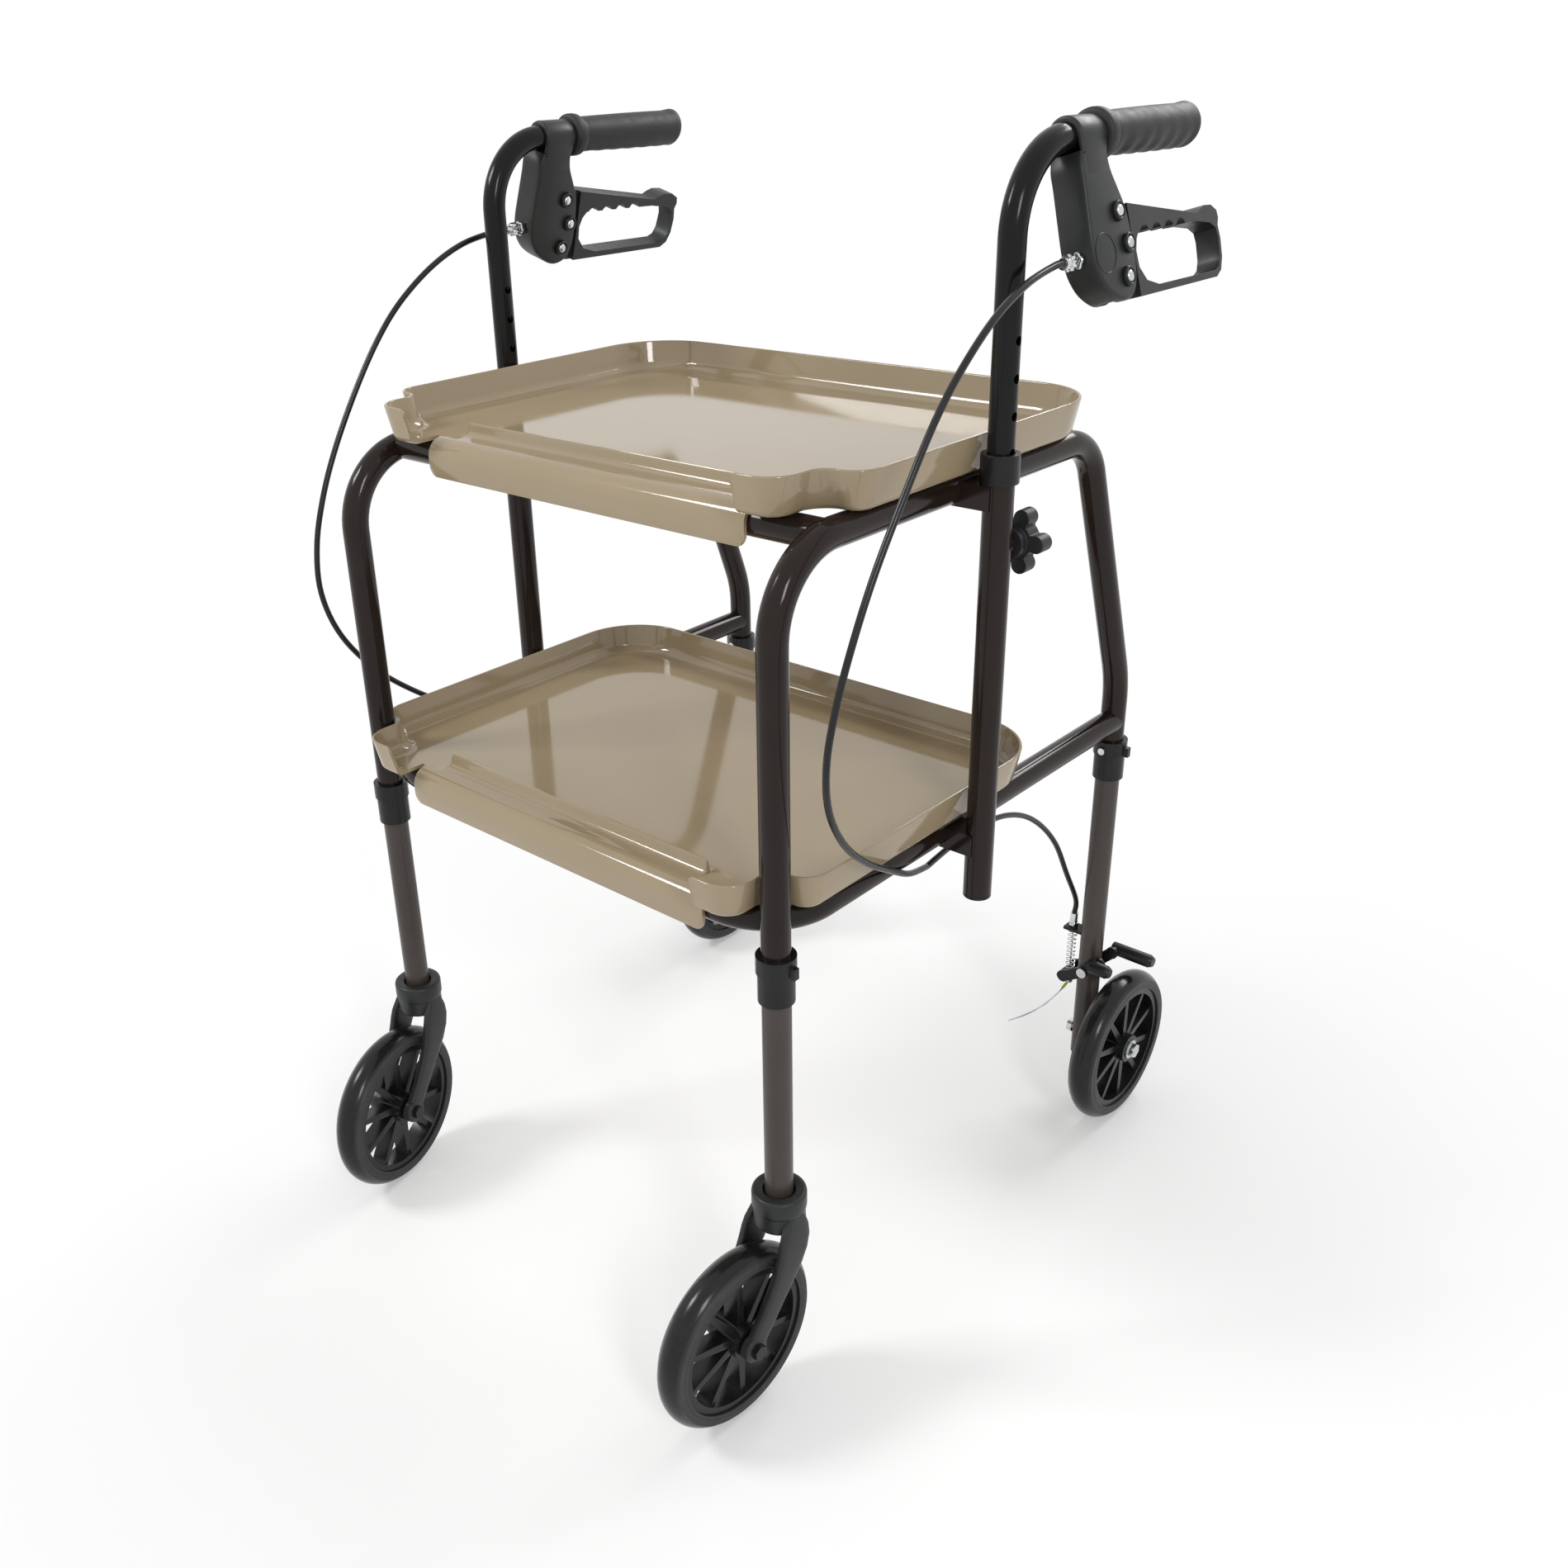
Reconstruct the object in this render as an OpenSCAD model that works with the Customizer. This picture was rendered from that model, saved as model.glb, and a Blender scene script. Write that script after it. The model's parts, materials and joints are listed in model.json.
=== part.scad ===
// Indoor walker with two trays: a bent tube frame on two swivel casters and two braked rear wheels.
// Frame: +Z up, -Y to the front of the walker, origin on the floor below the middle of the walker.

/* [Frame] */
// Distance between the two side frames, centre line to centre line
frame_w = 450; // [430:1:480]
// Distance from the front leg line to the rear leg line
leg_gap = 476; // [465:1:490]
// Outer diameter of the frame tubes
tube_d = 22; // [21:0.5:23]
// Wall of the frame tubes
tube_wall = 1.5; // [1.2:0.1:1.8]
// Height of the upper rail's centre line
upper_rail_z = 690; // [680:1:710]
// Height of the lower rail's centre line
lower_rail_z = 417; // [415:1:430]
// Length of the upper rail from the front leg line to its rear corner
upper_rail_len = 388; // [380:1:395]
// Bend radius between a front leg and the upper rail
front_bend_r = 62; // [55:1:70]
// Bend radius between the upper rail and a rear leg
rear_bend_r = 45.5; // [39:0.5:55]
// Bend radius of the knee where a rear leg turns upright
knee_bend_r = 110; // [80:1:120]
// Bend radius of the lower frame's corners
lower_bend_r = 54; // [54:1:64]
// Distance of the upper cross tube behind the front leg line
cross_back = 54; // [50:1:66]

/* [Legs] */
// Height of the joint between the upper and lower leg tubes
leg_joint_z = 380; // [376:1:384]
// Length of the narrowed end of a lower leg inside the upper tube
spigot_len = 40; // [30:1:60]
// Height of a leg collar
collar_h = 38; // [34:1:40]
// Outer diameter of a leg collar
collar_d = 27.5; // [27:0.5:29]
// Height of the wider ring at the top of a leg collar
collar_ring_h = 14; // [12:1:16]
// Outer diameter of that ring
collar_ring_d = 30; // [29:0.5:32]
// Height of the lower end of a rear leg
rear_leg_z = 54; // [50:1:60]
// Diameter of a leg's snap button
button_d = 6.4; // [5:0.1:7]
// Height of a snap button above the leg joint
button_rise = 11; // [10:1:12]
// Travel of a snap button
button_travel = 4; // [3:0.5:4.5]

/* [Wheels] */
// Outer diameter of every wheel
wheel_d = 154; // [150:1:156]
// Width of every tyre
tyre_w = 25; // [23:0.5:26]
// Crown radius of the tyre's tread
tread_r = 14; // [13.5:0.5:18]
// Outer diameter of the spoked rim
rim_d = 124; // [120:1:128]
// Radial thickness of the rim ring
rim_t = 6; // [5:0.5:8]
// Width of the rim ring
rim_w = 21; // [18:0.5:22]
// Diameter of the hub
hub_d = 28; // [24:1:32]
// Width of the hub
hub_w = 29; // [28:0.5:30]
// Number of spokes
spoke_count = 10; // [6:1:12]
// Spoke thickness at the hub
spoke_root_t = 8; // [6:0.5:9]
// Spoke thickness at the rim
spoke_tip_t = 5; // [4:0.5:6]
// Spoke width along the axle
spoke_w = 15; // [12:1:18]
// Diameter of every axle
axle_d = 8; // [7:0.5:9]
// Distance from a rear leg's centre line to its wheel's middle
rear_wheel_out = 36; // [34:1:40]

/* [Casters] */
// Distance of a caster's axle from its swivel line
caster_trail = 52.5; // [48:0.5:56]
// Swivel of the right caster as the walker stands
caster_turn_right = -3; // [-10:1:10]
// Swivel of the left caster as the walker stands
caster_turn_left = 14; // [-15:1:15]
// Height of the top of a fork
fork_top_z = 189; // [186:1:195]
// Diameter of the ring at the top of a fork
fork_ring_d = 43; // [40:1:46]
// Height of that ring
fork_ring_h = 16; // [14:1:18]
// Thickness of the crown below the ring
fork_crown_h = 15; // [13:1:16]
// Thickness of a fork arm
fork_arm_t = 9; // [8:0.5:10]
// Space between the fork arms
fork_gap = 31; // [31:0.5:34]
// Diameter of the boss around the axle
fork_boss_d = 23; // [20:1:26]
// Diameter of the swivel pin
stem_d = 12; // [10:0.5:13]

/* [Handles] */
// Distance of a handle socket's centre line outside the side frame
socket_out = 34; // [33:0.5:38]
// Distance of the handle sockets behind the front leg line
socket_back = 205.5; // [200:0.5:212]
// Height of a socket's lower end
socket_low_z = 370; // [360:1:390]
// Height of a socket's upper end
socket_top_z = 716; // [712:1:725]
// Wall of a socket
socket_wall = 1.3; // [1.2:0.1:1.5]
// Outer diameter of a handle tube
handle_d = 19.2; // [18:0.1:19.8]
// Height of the grips' centre line
grip_z = 915; // [900:1:930]
// Bend radius of a handle tube
handle_bend_r = 58; // [50:1:62]
// Length of a handle from its socket's centre line to the end of the tube
handle_reach = 224; // [218:1:230]
// Height of a handle tube's lower end
handle_low_z = 540; // [530:1:560]
// Number of height holes
hole_count = 9; // [5:1:9]
// Distance between height holes
hole_pitch = 25; // [20:1:25]
// Diameter of a height hole
hole_d = 6.5; // [5:0.5:7]
// Height of the lowest height hole
hole_low_z = 594; // [590:1:600]
// Outer diameter of a grip
grip_d = 31; // [29:0.5:32]
// Length of a grip
grip_len = 138; // [135:1:142]
// Diameter of the flange at a grip's inner end
grip_flange_d = 35; // [34:1:38]
// Thickness of that flange
grip_flange_t = 5; // [4:0.5:6]

/* [Brake handles] */
// Outward lean of the brake handles
brake_lean = 16; // [10:1:20]
// Thickness of a brake housing
housing_t = 25; // [24:1:26]
// Width of a brake housing along the handle
housing_w = 54; // [52:1:56]
// Drop of a brake housing below the grip's centre line
housing_drop = 110; // [108:1:114]
// Distance of a brake housing behind its socket's centre line
housing_back = 48.5; // [47:0.5:50]
// Diameter of the clamp around the handle tube
clamp_d = 27; // [26:0.5:30]
// Width of the slot for the lever
lever_slot = 11; // [11:0.5:12]
// Width of the lever's loop
lever_w = 18; // [16:1:20]
// Thickness of the lever inside the housing
lever_root_w = 10; // [9:0.5:10]
// Reach of the lever's loop behind the housing
lever_reach = 137.5; // [132:0.5:142]
// Height of the lever's loop
lever_h = 66; // [64:1:68]
// Diameter of the housing bolts
bolt_d = 6; // [5:0.5:6.5]
// Diameter of the bolt heads
bolt_head_d = 11; // [10:0.5:12]
// Squeeze of the lever, in degrees
lever_squeeze = 12; // [8:1:12]

/* [Trays] */
// Length of a tray from front to back
tray_len = 354; // [345:1:360]
// Overhang of a tray's side outside the rail's centre line
tray_overhang = 16; // [14:0.5:17]
// Lead of a tray's front edge before its cross tube
tray_lead = 28; // [26:1:32]
// Wall of a tray
tray_wall = 3; // [2.5:0.1:3.5]
// Height of a tray's rim above the rails
rim_h = 29; // [24:1:32]
// Radius of a tray's rear corners
tray_corner_r = 58; // [45:1:62]
// Radius of the notch around a front leg
notch_r = 17; // [15:0.5:18]
// Radius of the lobe in front of the notch
lobe_r = 20; // [16:0.5:24]
// Radius of the shoulder behind the notch
shoulder_r = 16; // [12:0.5:16]
// Half of the length of the hook over the cross tube
hook_half = 168; // [150:1:170]
// Drop of the hook's skirt below the cross tube's centre line
skirt_drop = 16; // [12:1:22]
// Half of the length of the lip behind the hook
lip_half = 149; // [140:1:155]
// Height of the lip behind the hook
lip_h = 10; // [6:1:14]

/* [Rear brakes] */
// Height of a brake arm's pivot
brake_pivot_z = 152; // [150:1:156]
// Distance of the cable's line inside a rear leg's centre line
cable_in = 21; // [20:0.5:24]
// Height of the brake bars' centre line
brake_bar_z = 168; // [167:0.5:172]
// Diameter of the brake bars
brake_bar_d = 13; // [11:0.5:13]
// Reach of the rear brake bar from the leg's centre line
brake_bar_reach = 55; // [50:1:58]
// Reach of the front brake bar from the leg's centre line
step_bar_reach = 33; // [28:1:36]
// Height of the cable stop
cable_stop_z = 188; // [186:1:192]
// Thickness of the cable stop
cable_stop_t = 3; // [2:0.5:4]
// Outer diameter of the cables
cable_d = 5; // [4.5:0.1:5.5]
// Wire diameter of a brake spring
spring_wire_d = 1.2; // [1:0.1:1.3]
// Mean diameter of a brake spring
spring_d = 8.4; // [8:0.1:9]
// Turns of a brake spring
spring_turns = 10; // [8:1:12]

/* [Knobs] */
// Height of the clamp knobs
knob_z = 650; // [640:1:660]
// Diameter of the star of a clamp knob
knob_d = 49; // [44:1:52]
// Thickness of that star
knob_t = 13; // [11:1:15]
// Diameter of a knob's hub
knob_hub_d = 23; // [20:1:26]
// Diameter of a knob's screw
knob_screw_d = 6; // [5:0.5:7]

/* [Hidden] */
$fn = 64;

// Clearances: welded or pressed pieces, running pins, sliding tubes and pieces that only rest
weld_gap = 0.15;
run_fit = 0.05;
slide_fit = 0.1;
rest_gap = 0.3;
// Length by which every cut runs past its face, and by which joined shapes bite into each other
overrun = 1;
bite = 0.5;

tube_r = tube_d / 2;
side_x = frame_w / 2;
wheel_r = wheel_d / 2;
front_y = -(leg_gap - caster_trail) / 2;
rear_y = front_y + leg_gap;
socket_x = side_x + socket_out;
socket_y = front_y + socket_back;
socket_d = handle_d + 2 * slide_fit + 2 * socket_wall;
upper_cross_y = front_y + cross_back;

// Colours of the finishes
brown = "#3a2f2b";
black = "#1d1f20";
grey = "#3b3d3e";
steel = "#c9ccce";
tan = "#a8957a";

// Small vector helpers
function unit(v) = v / norm(v);
function flat_angle(v) = atan2(v[1], v[0]);
function cross_flat(a, b) = a[0] * b[1] - a[1] * b[0];

// Places a right-hand piece on either side: 1 is right, -1 is left
module on_side(side) {
  if (side > 0) children();
  else mirror([1, 0, 0]) children();
}

// Turns a flat drawing in X and Y into one that stands in Y and Z
module stand_up() {
  rotate([90, 0, 90]) children();
}

// A rod along a chain of points in its own X and Y plane, with round bends at the inner points
function chain_dir(pts, i) = unit(pts[i + 1] - pts[i]);
function chain_turn(pts, i) =
  let (a = chain_dir(pts, i - 1), b = chain_dir(pts, i))
  atan2(cross_flat(a, b), a * b);
function chain_trim(pts, radii, i) =
  (i == 0 || i == len(pts) - 1) ? 0 : radii[i - 1] * tan(abs(chain_turn(pts, i)) / 2);

module bent_rod(pts, radii, d, wall = 0) {
  for (i = [0 : len(pts) - 2]) {
    dir = chain_dir(pts, i);
    from = pts[i] + dir * chain_trim(pts, radii, i);
    to = pts[i + 1] - dir * chain_trim(pts, radii, i + 1);
    translate([from[0], from[1], 0]) rotate([0, 90, flat_angle(dir)])
      linear_extrude(norm(to - from)) rod_section(d, wall);
  }
  for (i = [1 : len(pts) - 2]) {
    turn = chain_turn(pts, i);
    r = radii[i - 1];
    hand = sign(turn);
    dir = chain_dir(pts, i - 1);
    start = pts[i] - dir * chain_trim(pts, radii, i);
    next = chain_dir(pts, i);
    centre = start + hand * r * [-dir[1], dir[0]];
    from = 2 * r * hand * [dir[1], -dir[0]];
    to = 2 * r * hand * [next[1], -next[0]];
    translate([centre[0], centre[1], 0]) intersection() {
      rotate_extrude() translate([r, 0]) rod_section(d, wall);
      translate([0, 0, -d]) linear_extrude(2 * d) polygon([[0, 0], from, from + to, to]);
    }
  }
}

module rod_section(d, wall) {
  difference() {
    circle(d = d);
    if (wall > 0) circle(d = d - 2 * wall);
  }
}

// A plain bar between two points of a flat drawing, with round ends
module link(from, to, w) {
  translate(from) circle(d = w);
  translate(to) circle(d = w);
  translate(from) rotate(flat_angle(to - from)) translate([0, -w / 2 + bite]) square([norm(to - from), w - 2 * bite]);
}

// A round tube swept along points in space
function smooth_point(p, i, t) =
  let (a = p[max(i - 1, 0)], b = p[i], c = p[i + 1], d = p[min(i + 2, len(p) - 1)])
  (2 * b + (c - a) * t + (2 * a - 5 * b + 4 * c - d) * t * t + (3 * b - a - 3 * c + d) * t * t * t) / 2;
function smooth_route(p, steps) = concat(
  [for (i = [0 : len(p) - 2], k = [0 : steps - 1]) smooth_point(p, i, k / steps)],
  [p[len(p) - 1]]
);
function route_dirs(p, start_dir, end_dir) = [
  for (i = [0 : len(p) - 1])
    i == 0 && !is_undef(start_dir) ? start_dir
    : i == len(p) - 1 && !is_undef(end_dir) ? end_dir
    : unit(p[min(i + 1, len(p) - 1)] - p[max(i - 1, 0)])
];
function square_to(v, dir) = unit(v - (v * dir) * dir);
function carried(dirs, first) = [
  for (i = 0, v = square_to(first, dirs[0]); i < len(dirs);
    i = i + 1, v = i < len(dirs) ? square_to(v, dirs[i]) : v) v
];

module swept_tube(path, d, sides, first, start_dir, end_dir) {
  dirs = route_dirs(path, start_dir, end_dir);
  ups = carried(dirs, first);
  points = [
    for (i = [0 : len(path) - 1], k = [0 : sides - 1])
      path[i] + d / 2 * (cos(360 * k / sides) * ups[i] + sin(360 * k / sides) * cross(dirs[i], ups[i]))
  ];
  last = (len(path) - 1) * sides;
  walls = [
    for (i = [0 : len(path) - 2], k = [0 : sides - 1])
      let (a = i * sides + k, b = i * sides + (k + 1) % sides)
      each [[a, a + sides, b], [b, a + sides, b + sides]]
  ];
  ends = [
    for (k = [1 : sides - 2])
      each [[0, k, k + 1], [last, last + k + 1, last + k]]
  ];
  polyhedron(concat(points, [], []), concat(walls, ends));
}

// Side frames: front leg, upper rail and rear leg from one bent tube, whose rear slope falls 117 for every 44
slope_ratio = 117 / 44;
knee_z = upper_rail_z - (leg_gap - upper_rail_len) * slope_ratio;
side_chain = [
  [front_y, leg_joint_z],
  [front_y, upper_rail_z],
  [front_y + upper_rail_len, upper_rail_z],
  [rear_y, knee_z],
  [rear_y, leg_joint_z]
];
side_radii = [front_bend_r, rear_bend_r, knee_bend_r];

module side_rod(d, wall = 0) {
  translate([side_x, 0, 0]) stand_up() bent_rod(side_chain, side_radii, d, wall);
}

module side_frame(side) {
  color(brown) on_side(side) difference() {
    side_rod(tube_d, tube_wall);
    leg_at(front_y) button_hole(1);
    leg_at(rear_y) button_hole(-1);
  }
}

module front_cross_tube() {
  color(brown) difference() {
    translate([-side_x, upper_cross_y, upper_rail_z]) rotate([0, 90, 0])
      linear_extrude(frame_w) rod_section(tube_d, tube_wall);
    for (side = [-1, 1]) on_side(side) side_rod(tube_d + 2 * weld_gap);
  }
}

module lower_frame() {
  color(brown) difference() {
    translate([0, 0, lower_rail_z]) bent_rod(
      [[side_x, rear_y], [side_x, front_y], [-side_x, front_y], [-side_x, rear_y]],
      [lower_bend_r, lower_bend_r], tube_d, tube_wall);
    for (x = [-side_x, side_x])
      translate([x, rear_y, lower_rail_z - tube_d]) cylinder(h = 2 * tube_d, r = tube_r + weld_gap);
  }
}

// Legs, their collars and snap buttons
spigot_r = tube_r - tube_wall - slide_fit;
collar_low_z = leg_joint_z - collar_h / 2;
button_z = leg_joint_z + button_rise;
button_proud = 2.2;
button_flange_t = 1;
button_flange_share = 0.55;
fork_seat_depth = 8;
stem_flange_t = 1.6;
pivot_pin_d = 6;
leg_low_z = fork_top_z - fork_seat_depth + stem_flange_t + rest_gap + weld_gap;

module leg_at(y) {
  translate([side_x, y, 0]) children();
}

module button_hole(dir) {
  translate([0, 0, button_z]) rotate([-90 * dir, 0, 0]) cylinder(h = collar_ring_d, d = button_d + 2 * slide_fit);
}

module lower_leg(low_z) {
  rotate_extrude() polygon([
    [tube_r - tube_wall, low_z],
    [tube_r, low_z],
    [tube_r, leg_joint_z - weld_gap],
    [spigot_r, leg_joint_z - weld_gap],
    [spigot_r, leg_joint_z + spigot_len],
    [spigot_r - tube_wall, leg_joint_z + spigot_len],
    [spigot_r - tube_wall, leg_joint_z - 2 * tube_wall],
    [tube_r - tube_wall, leg_joint_z - 2 * tube_wall]
  ]);
}

module front_leg(side) {
  color(brown) on_side(side) leg_at(front_y) difference() {
    lower_leg(leg_low_z);
    button_hole(1);
  }
}

module rear_leg(side) {
  color(brown) on_side(side) leg_at(rear_y) difference() {
    lower_leg(rear_leg_z);
    button_hole(-1);
    translate([-tube_d, 0, wheel_r]) rotate([0, 90, 0]) cylinder(h = 2 * tube_d, d = axle_d + 2 * weld_gap);
    translate([0, tube_d, brake_pivot_z]) rotate([90, 0, 0])
      cylinder(h = 2 * tube_d, d = pivot_pin_d + 2 * weld_gap);
  }
}

collar_ear_t = 5;
collar_ear_h = 9;
collar_ear_out = 4;

module leg_collar(dir) {
  difference() {
    union() {
      translate([0, 0, collar_low_z]) cylinder(h = collar_h, d = collar_d);
      translate([0, 0, collar_low_z + collar_h - collar_ring_h]) cylinder(h = collar_ring_h, d = collar_ring_d);
      translate([0, -collar_ear_t / 2, collar_low_z + collar_h - collar_ring_h])
        cube([collar_ring_d / 2 + collar_ear_out, collar_ear_t, collar_ear_h]);
    }
    translate([0, 0, collar_low_z - overrun]) cylinder(h = collar_h + 2 * overrun, r = tube_r + weld_gap);
    button_hole(dir);
  }
}

module leg_collars() {
  color(black) for (side = [-1, 1]) on_side(side) {
    leg_at(front_y) leg_collar(1);
    leg_at(rear_y) leg_collar(-1);
  }
}

// The button faces along Y; its flange lies inside the spigot
module leg_button(side, y, dir) {
  flange_y = (spigot_r - tube_wall) * button_flange_share;
  color(steel) on_side(side) leg_at(y) translate([0, 0, button_z]) rotate([-90 * dir, 0, 0]) {
    translate([0, 0, flange_y]) cylinder(h = collar_ring_d / 2 + button_proud - flange_y, d = button_d);
    translate([0, 0, flange_y]) cylinder(h = button_flange_t, d = button_d + 2 * button_flange_t);
  }
}

// Casters: stem in the leg, fork on the stem, wheel in the fork
fork_seat_gap = 1.2;
stem_plug_len = 32;
stem_nut_h = 5.5;
stem_nut_d = 18;
crown_low_z = fork_top_z - fork_ring_h - fork_crown_h;
seat_z = fork_top_z - fork_seat_depth;
fork_half = fork_gap / 2 + fork_arm_t;
fork_back = 19;
fork_front = 21;
fork_waist_drop = 34;
axle_head_t = 4.5;
axle_head_d = 13;

module caster_stems() {
  color(steel) for (x = [-side_x, side_x]) translate([x, front_y, 0]) {
    translate([0, 0, leg_low_z]) cylinder(h = stem_plug_len, r = tube_r - tube_wall - weld_gap);
    translate([0, 0, seat_z + rest_gap]) cylinder(h = stem_flange_t, r = tube_r - weld_gap);
    translate([0, 0, crown_low_z - rest_gap - stem_nut_h])
      cylinder(h = leg_low_z + bite - crown_low_z + rest_gap + stem_nut_h, d = stem_d);
    translate([0, 0, crown_low_z - rest_gap - stem_nut_h]) cylinder(h = stem_nut_h, d = stem_nut_d);
  }
}

module caster_place(side) {
  translate([side * side_x, front_y, 0])
    rotate(side > 0 ? caster_turn_right : caster_turn_left) children();
}

module fork(side) {
  boss = [-caster_trail, wheel_r];
  color(black) caster_place(side) difference() {
    union() {
      translate([0, 0, fork_top_z - fork_ring_h]) cylinder(h = fork_ring_h, d = fork_ring_d);
      translate([-fork_half, -fork_front, crown_low_z])
        cube([2 * fork_half, fork_front + fork_back, fork_crown_h + bite]);
      for (x = [-fork_half, fork_gap / 2]) translate([x, 0, 0]) stand_up() linear_extrude(fork_arm_t) {
        translate(boss) circle(d = fork_boss_d);
        polygon([
          [fork_back, crown_low_z + fork_crown_h],
          [-fork_front, crown_low_z + fork_crown_h],
          [-fork_front, crown_low_z],
          boss + [-fork_boss_d / 2, 0],
          boss + [0, -fork_boss_d / 2],
          boss + [fork_boss_d / 2, 0],
          [fork_back, crown_low_z + fork_crown_h - fork_waist_drop]
        ]);
      }
    }
    translate([0, 0, crown_low_z - overrun]) cylinder(h = fork_top_z - crown_low_z, d = stem_d + 2 * run_fit);
    translate([0, 0, seat_z]) cylinder(h = fork_seat_depth + overrun, r = tube_r + fork_seat_gap);
    translate([-fork_half - overrun, boss[0], boss[1]]) rotate([0, 90, 0])
      cylinder(h = 2 * (fork_half + overrun), d = axle_d + 2 * weld_gap);
  }
}

module front_axle(side) {
  color(grey) caster_place(side) translate([0, -caster_trail, wheel_r]) rotate([0, 90, 0]) {
    translate([0, 0, -fork_half - axle_head_t]) cylinder(h = 2 * (fork_half + axle_head_t), d = axle_d);
    translate([0, 0, -fork_half - axle_head_t]) cylinder(h = axle_head_t - weld_gap, d = axle_head_d);
    translate([0, 0, fork_half + weld_gap]) cylinder(h = axle_head_t - weld_gap, d = axle_head_d, $fn = 6);
  }
}

module wheel_rim() {
  ring_r = rim_d / 2 - rim_t;
  rotate([0, 90, 0]) difference() {
    union() {
      translate([0, 0, -rim_w / 2]) linear_extrude(rim_w) rod_section(rim_d, rim_t);
      translate([0, 0, -hub_w / 2]) cylinder(h = hub_w, d = hub_d);
      for (k = [0 : spoke_count - 1]) rotate(360 * k / spoke_count)
        translate([0, 0, -spoke_w / 2]) linear_extrude(spoke_w) polygon([
          [0, -spoke_root_t / 2],
          [ring_r + bite, -spoke_tip_t / 2],
          [ring_r + bite, spoke_tip_t / 2],
          [0, spoke_root_t / 2]
        ]);
    }
    translate([0, 0, -hub_w / 2 - overrun]) cylinder(h = hub_w + 2 * overrun, d = axle_d + 2 * run_fit);
  }
}

module tyre() {
  bore_r = rim_d / 2 + run_fit;
  rotate([0, 90, 0]) rotate_extrude() intersection() {
    translate([bore_r, -tyre_w / 2]) square([wheel_r - bore_r, tyre_w]);
    translate([wheel_r - tread_r, 0]) circle(r = tread_r);
  }
}

module front_wheel_place(side) {
  caster_place(side) translate([0, -caster_trail, wheel_r]) children();
}

module rear_wheel_place(side) {
  on_side(side) translate([side_x + rear_wheel_out, rear_y, wheel_r]) children();
}

rear_head_t = 5;
rear_spacer_d = 16;
rear_nut_t = 7;
rear_nut_d = 15;
rear_washer_t = 1.5;
rear_washer_d = 19;

module rear_axles() {
  hub_in = rear_wheel_out - hub_w / 2;
  hub_out = rear_wheel_out + hub_w / 2 + rest_gap;
  color(steel) for (side = [-1, 1]) on_side(side) translate([side_x, rear_y, wheel_r]) rotate([0, 90, 0]) {
    translate([0, 0, -tube_r - rear_head_t]) cylinder(h = tube_r + rear_head_t + hub_out + rear_nut_t, d = axle_d);
    translate([0, 0, -tube_r - rear_head_t]) cylinder(h = rear_head_t - weld_gap, d = axle_head_d);
    translate([0, 0, tube_r + weld_gap]) cylinder(h = hub_in - tube_r - weld_gap - rest_gap, d = rear_spacer_d);
    translate([0, 0, hub_out]) cylinder(h = rear_washer_t, d = rear_washer_d);
    translate([0, 0, hub_out + rear_washer_t - bite]) cylinder(h = rear_nut_t - rear_washer_t, d = rear_nut_d, $fn = 6);
  }
}

// Handle sockets, their brackets and caps
bracket_w = 24;
bracket_h = 18;
bracket_drop = 2;
cap_h = 21;
cap_t = 2.9;
cap_lip_h = 2.5;
plug_len = 12;
plug_rim_t = 2;
knob_boss_d = 15;
knob_boss_len = 5;

module socket_tube(side) {
  color(brown) on_side(side) translate([socket_x, socket_y, 0]) difference() {
    union() {
      translate([0, 0, socket_low_z]) cylinder(h = socket_top_z - socket_low_z, d = socket_d);
      translate([0, 0, knob_z]) rotate([-90, 0, 0]) cylinder(h = socket_d / 2 + knob_boss_len, d = knob_boss_d);
    }
    translate([0, 0, socket_low_z - overrun])
      cylinder(h = socket_top_z - socket_low_z + 2 * overrun, d = socket_d - 2 * socket_wall);
    translate([0, 0, knob_z]) rotate([-90, 0, 0]) cylinder(h = socket_d, d = knob_screw_d + 2 * run_fit);
  }
}

module socket_brackets() {
  color(brown) for (side = [-1, 1], rail_z = [upper_rail_z, lower_rail_z]) on_side(side) difference() {
    translate([side_x, socket_y - bracket_w / 2, rail_z - bracket_drop - bracket_h / 2])
      cube([socket_out, bracket_w, bracket_h]);
    translate([side_x, socket_y - bracket_w, rail_z]) rotate([-90, 0, 0])
      cylinder(h = 2 * bracket_w, r = tube_r + weld_gap);
    translate([socket_x, socket_y, rail_z - bracket_h]) cylinder(h = 2 * bracket_h, r = socket_d / 2 + weld_gap);
  }
}

// Collars on the sockets' upper ends, and plugs in the open lower ends of sockets and rear legs
module tube_caps() {
  color(black) for (side = [-1, 1]) on_side(side) {
    translate([socket_x, socket_y, socket_top_z + cap_lip_h - cap_h]) difference() {
      cylinder(h = cap_h, r = socket_d / 2 + cap_t);
      translate([0, 0, -overrun]) cylinder(h = cap_h - cap_lip_h + overrun + weld_gap, r = socket_d / 2 + weld_gap);
      cylinder(h = cap_h + overrun, r = handle_d / 2 + rest_gap);
    }
    translate([socket_x, socket_y, socket_low_z]) tube_plug(socket_d, socket_wall);
    translate([side_x, rear_y, rear_leg_z]) tube_plug(tube_d, tube_wall);
  }
}

module tube_plug(d, wall) {
  translate([0, 0, -plug_rim_t - weld_gap]) cylinder(h = plug_rim_t, d = d);
  translate([0, 0, -bite - weld_gap]) cylinder(h = plug_len, d = d - 2 * wall - 2 * weld_gap);
}

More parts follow.
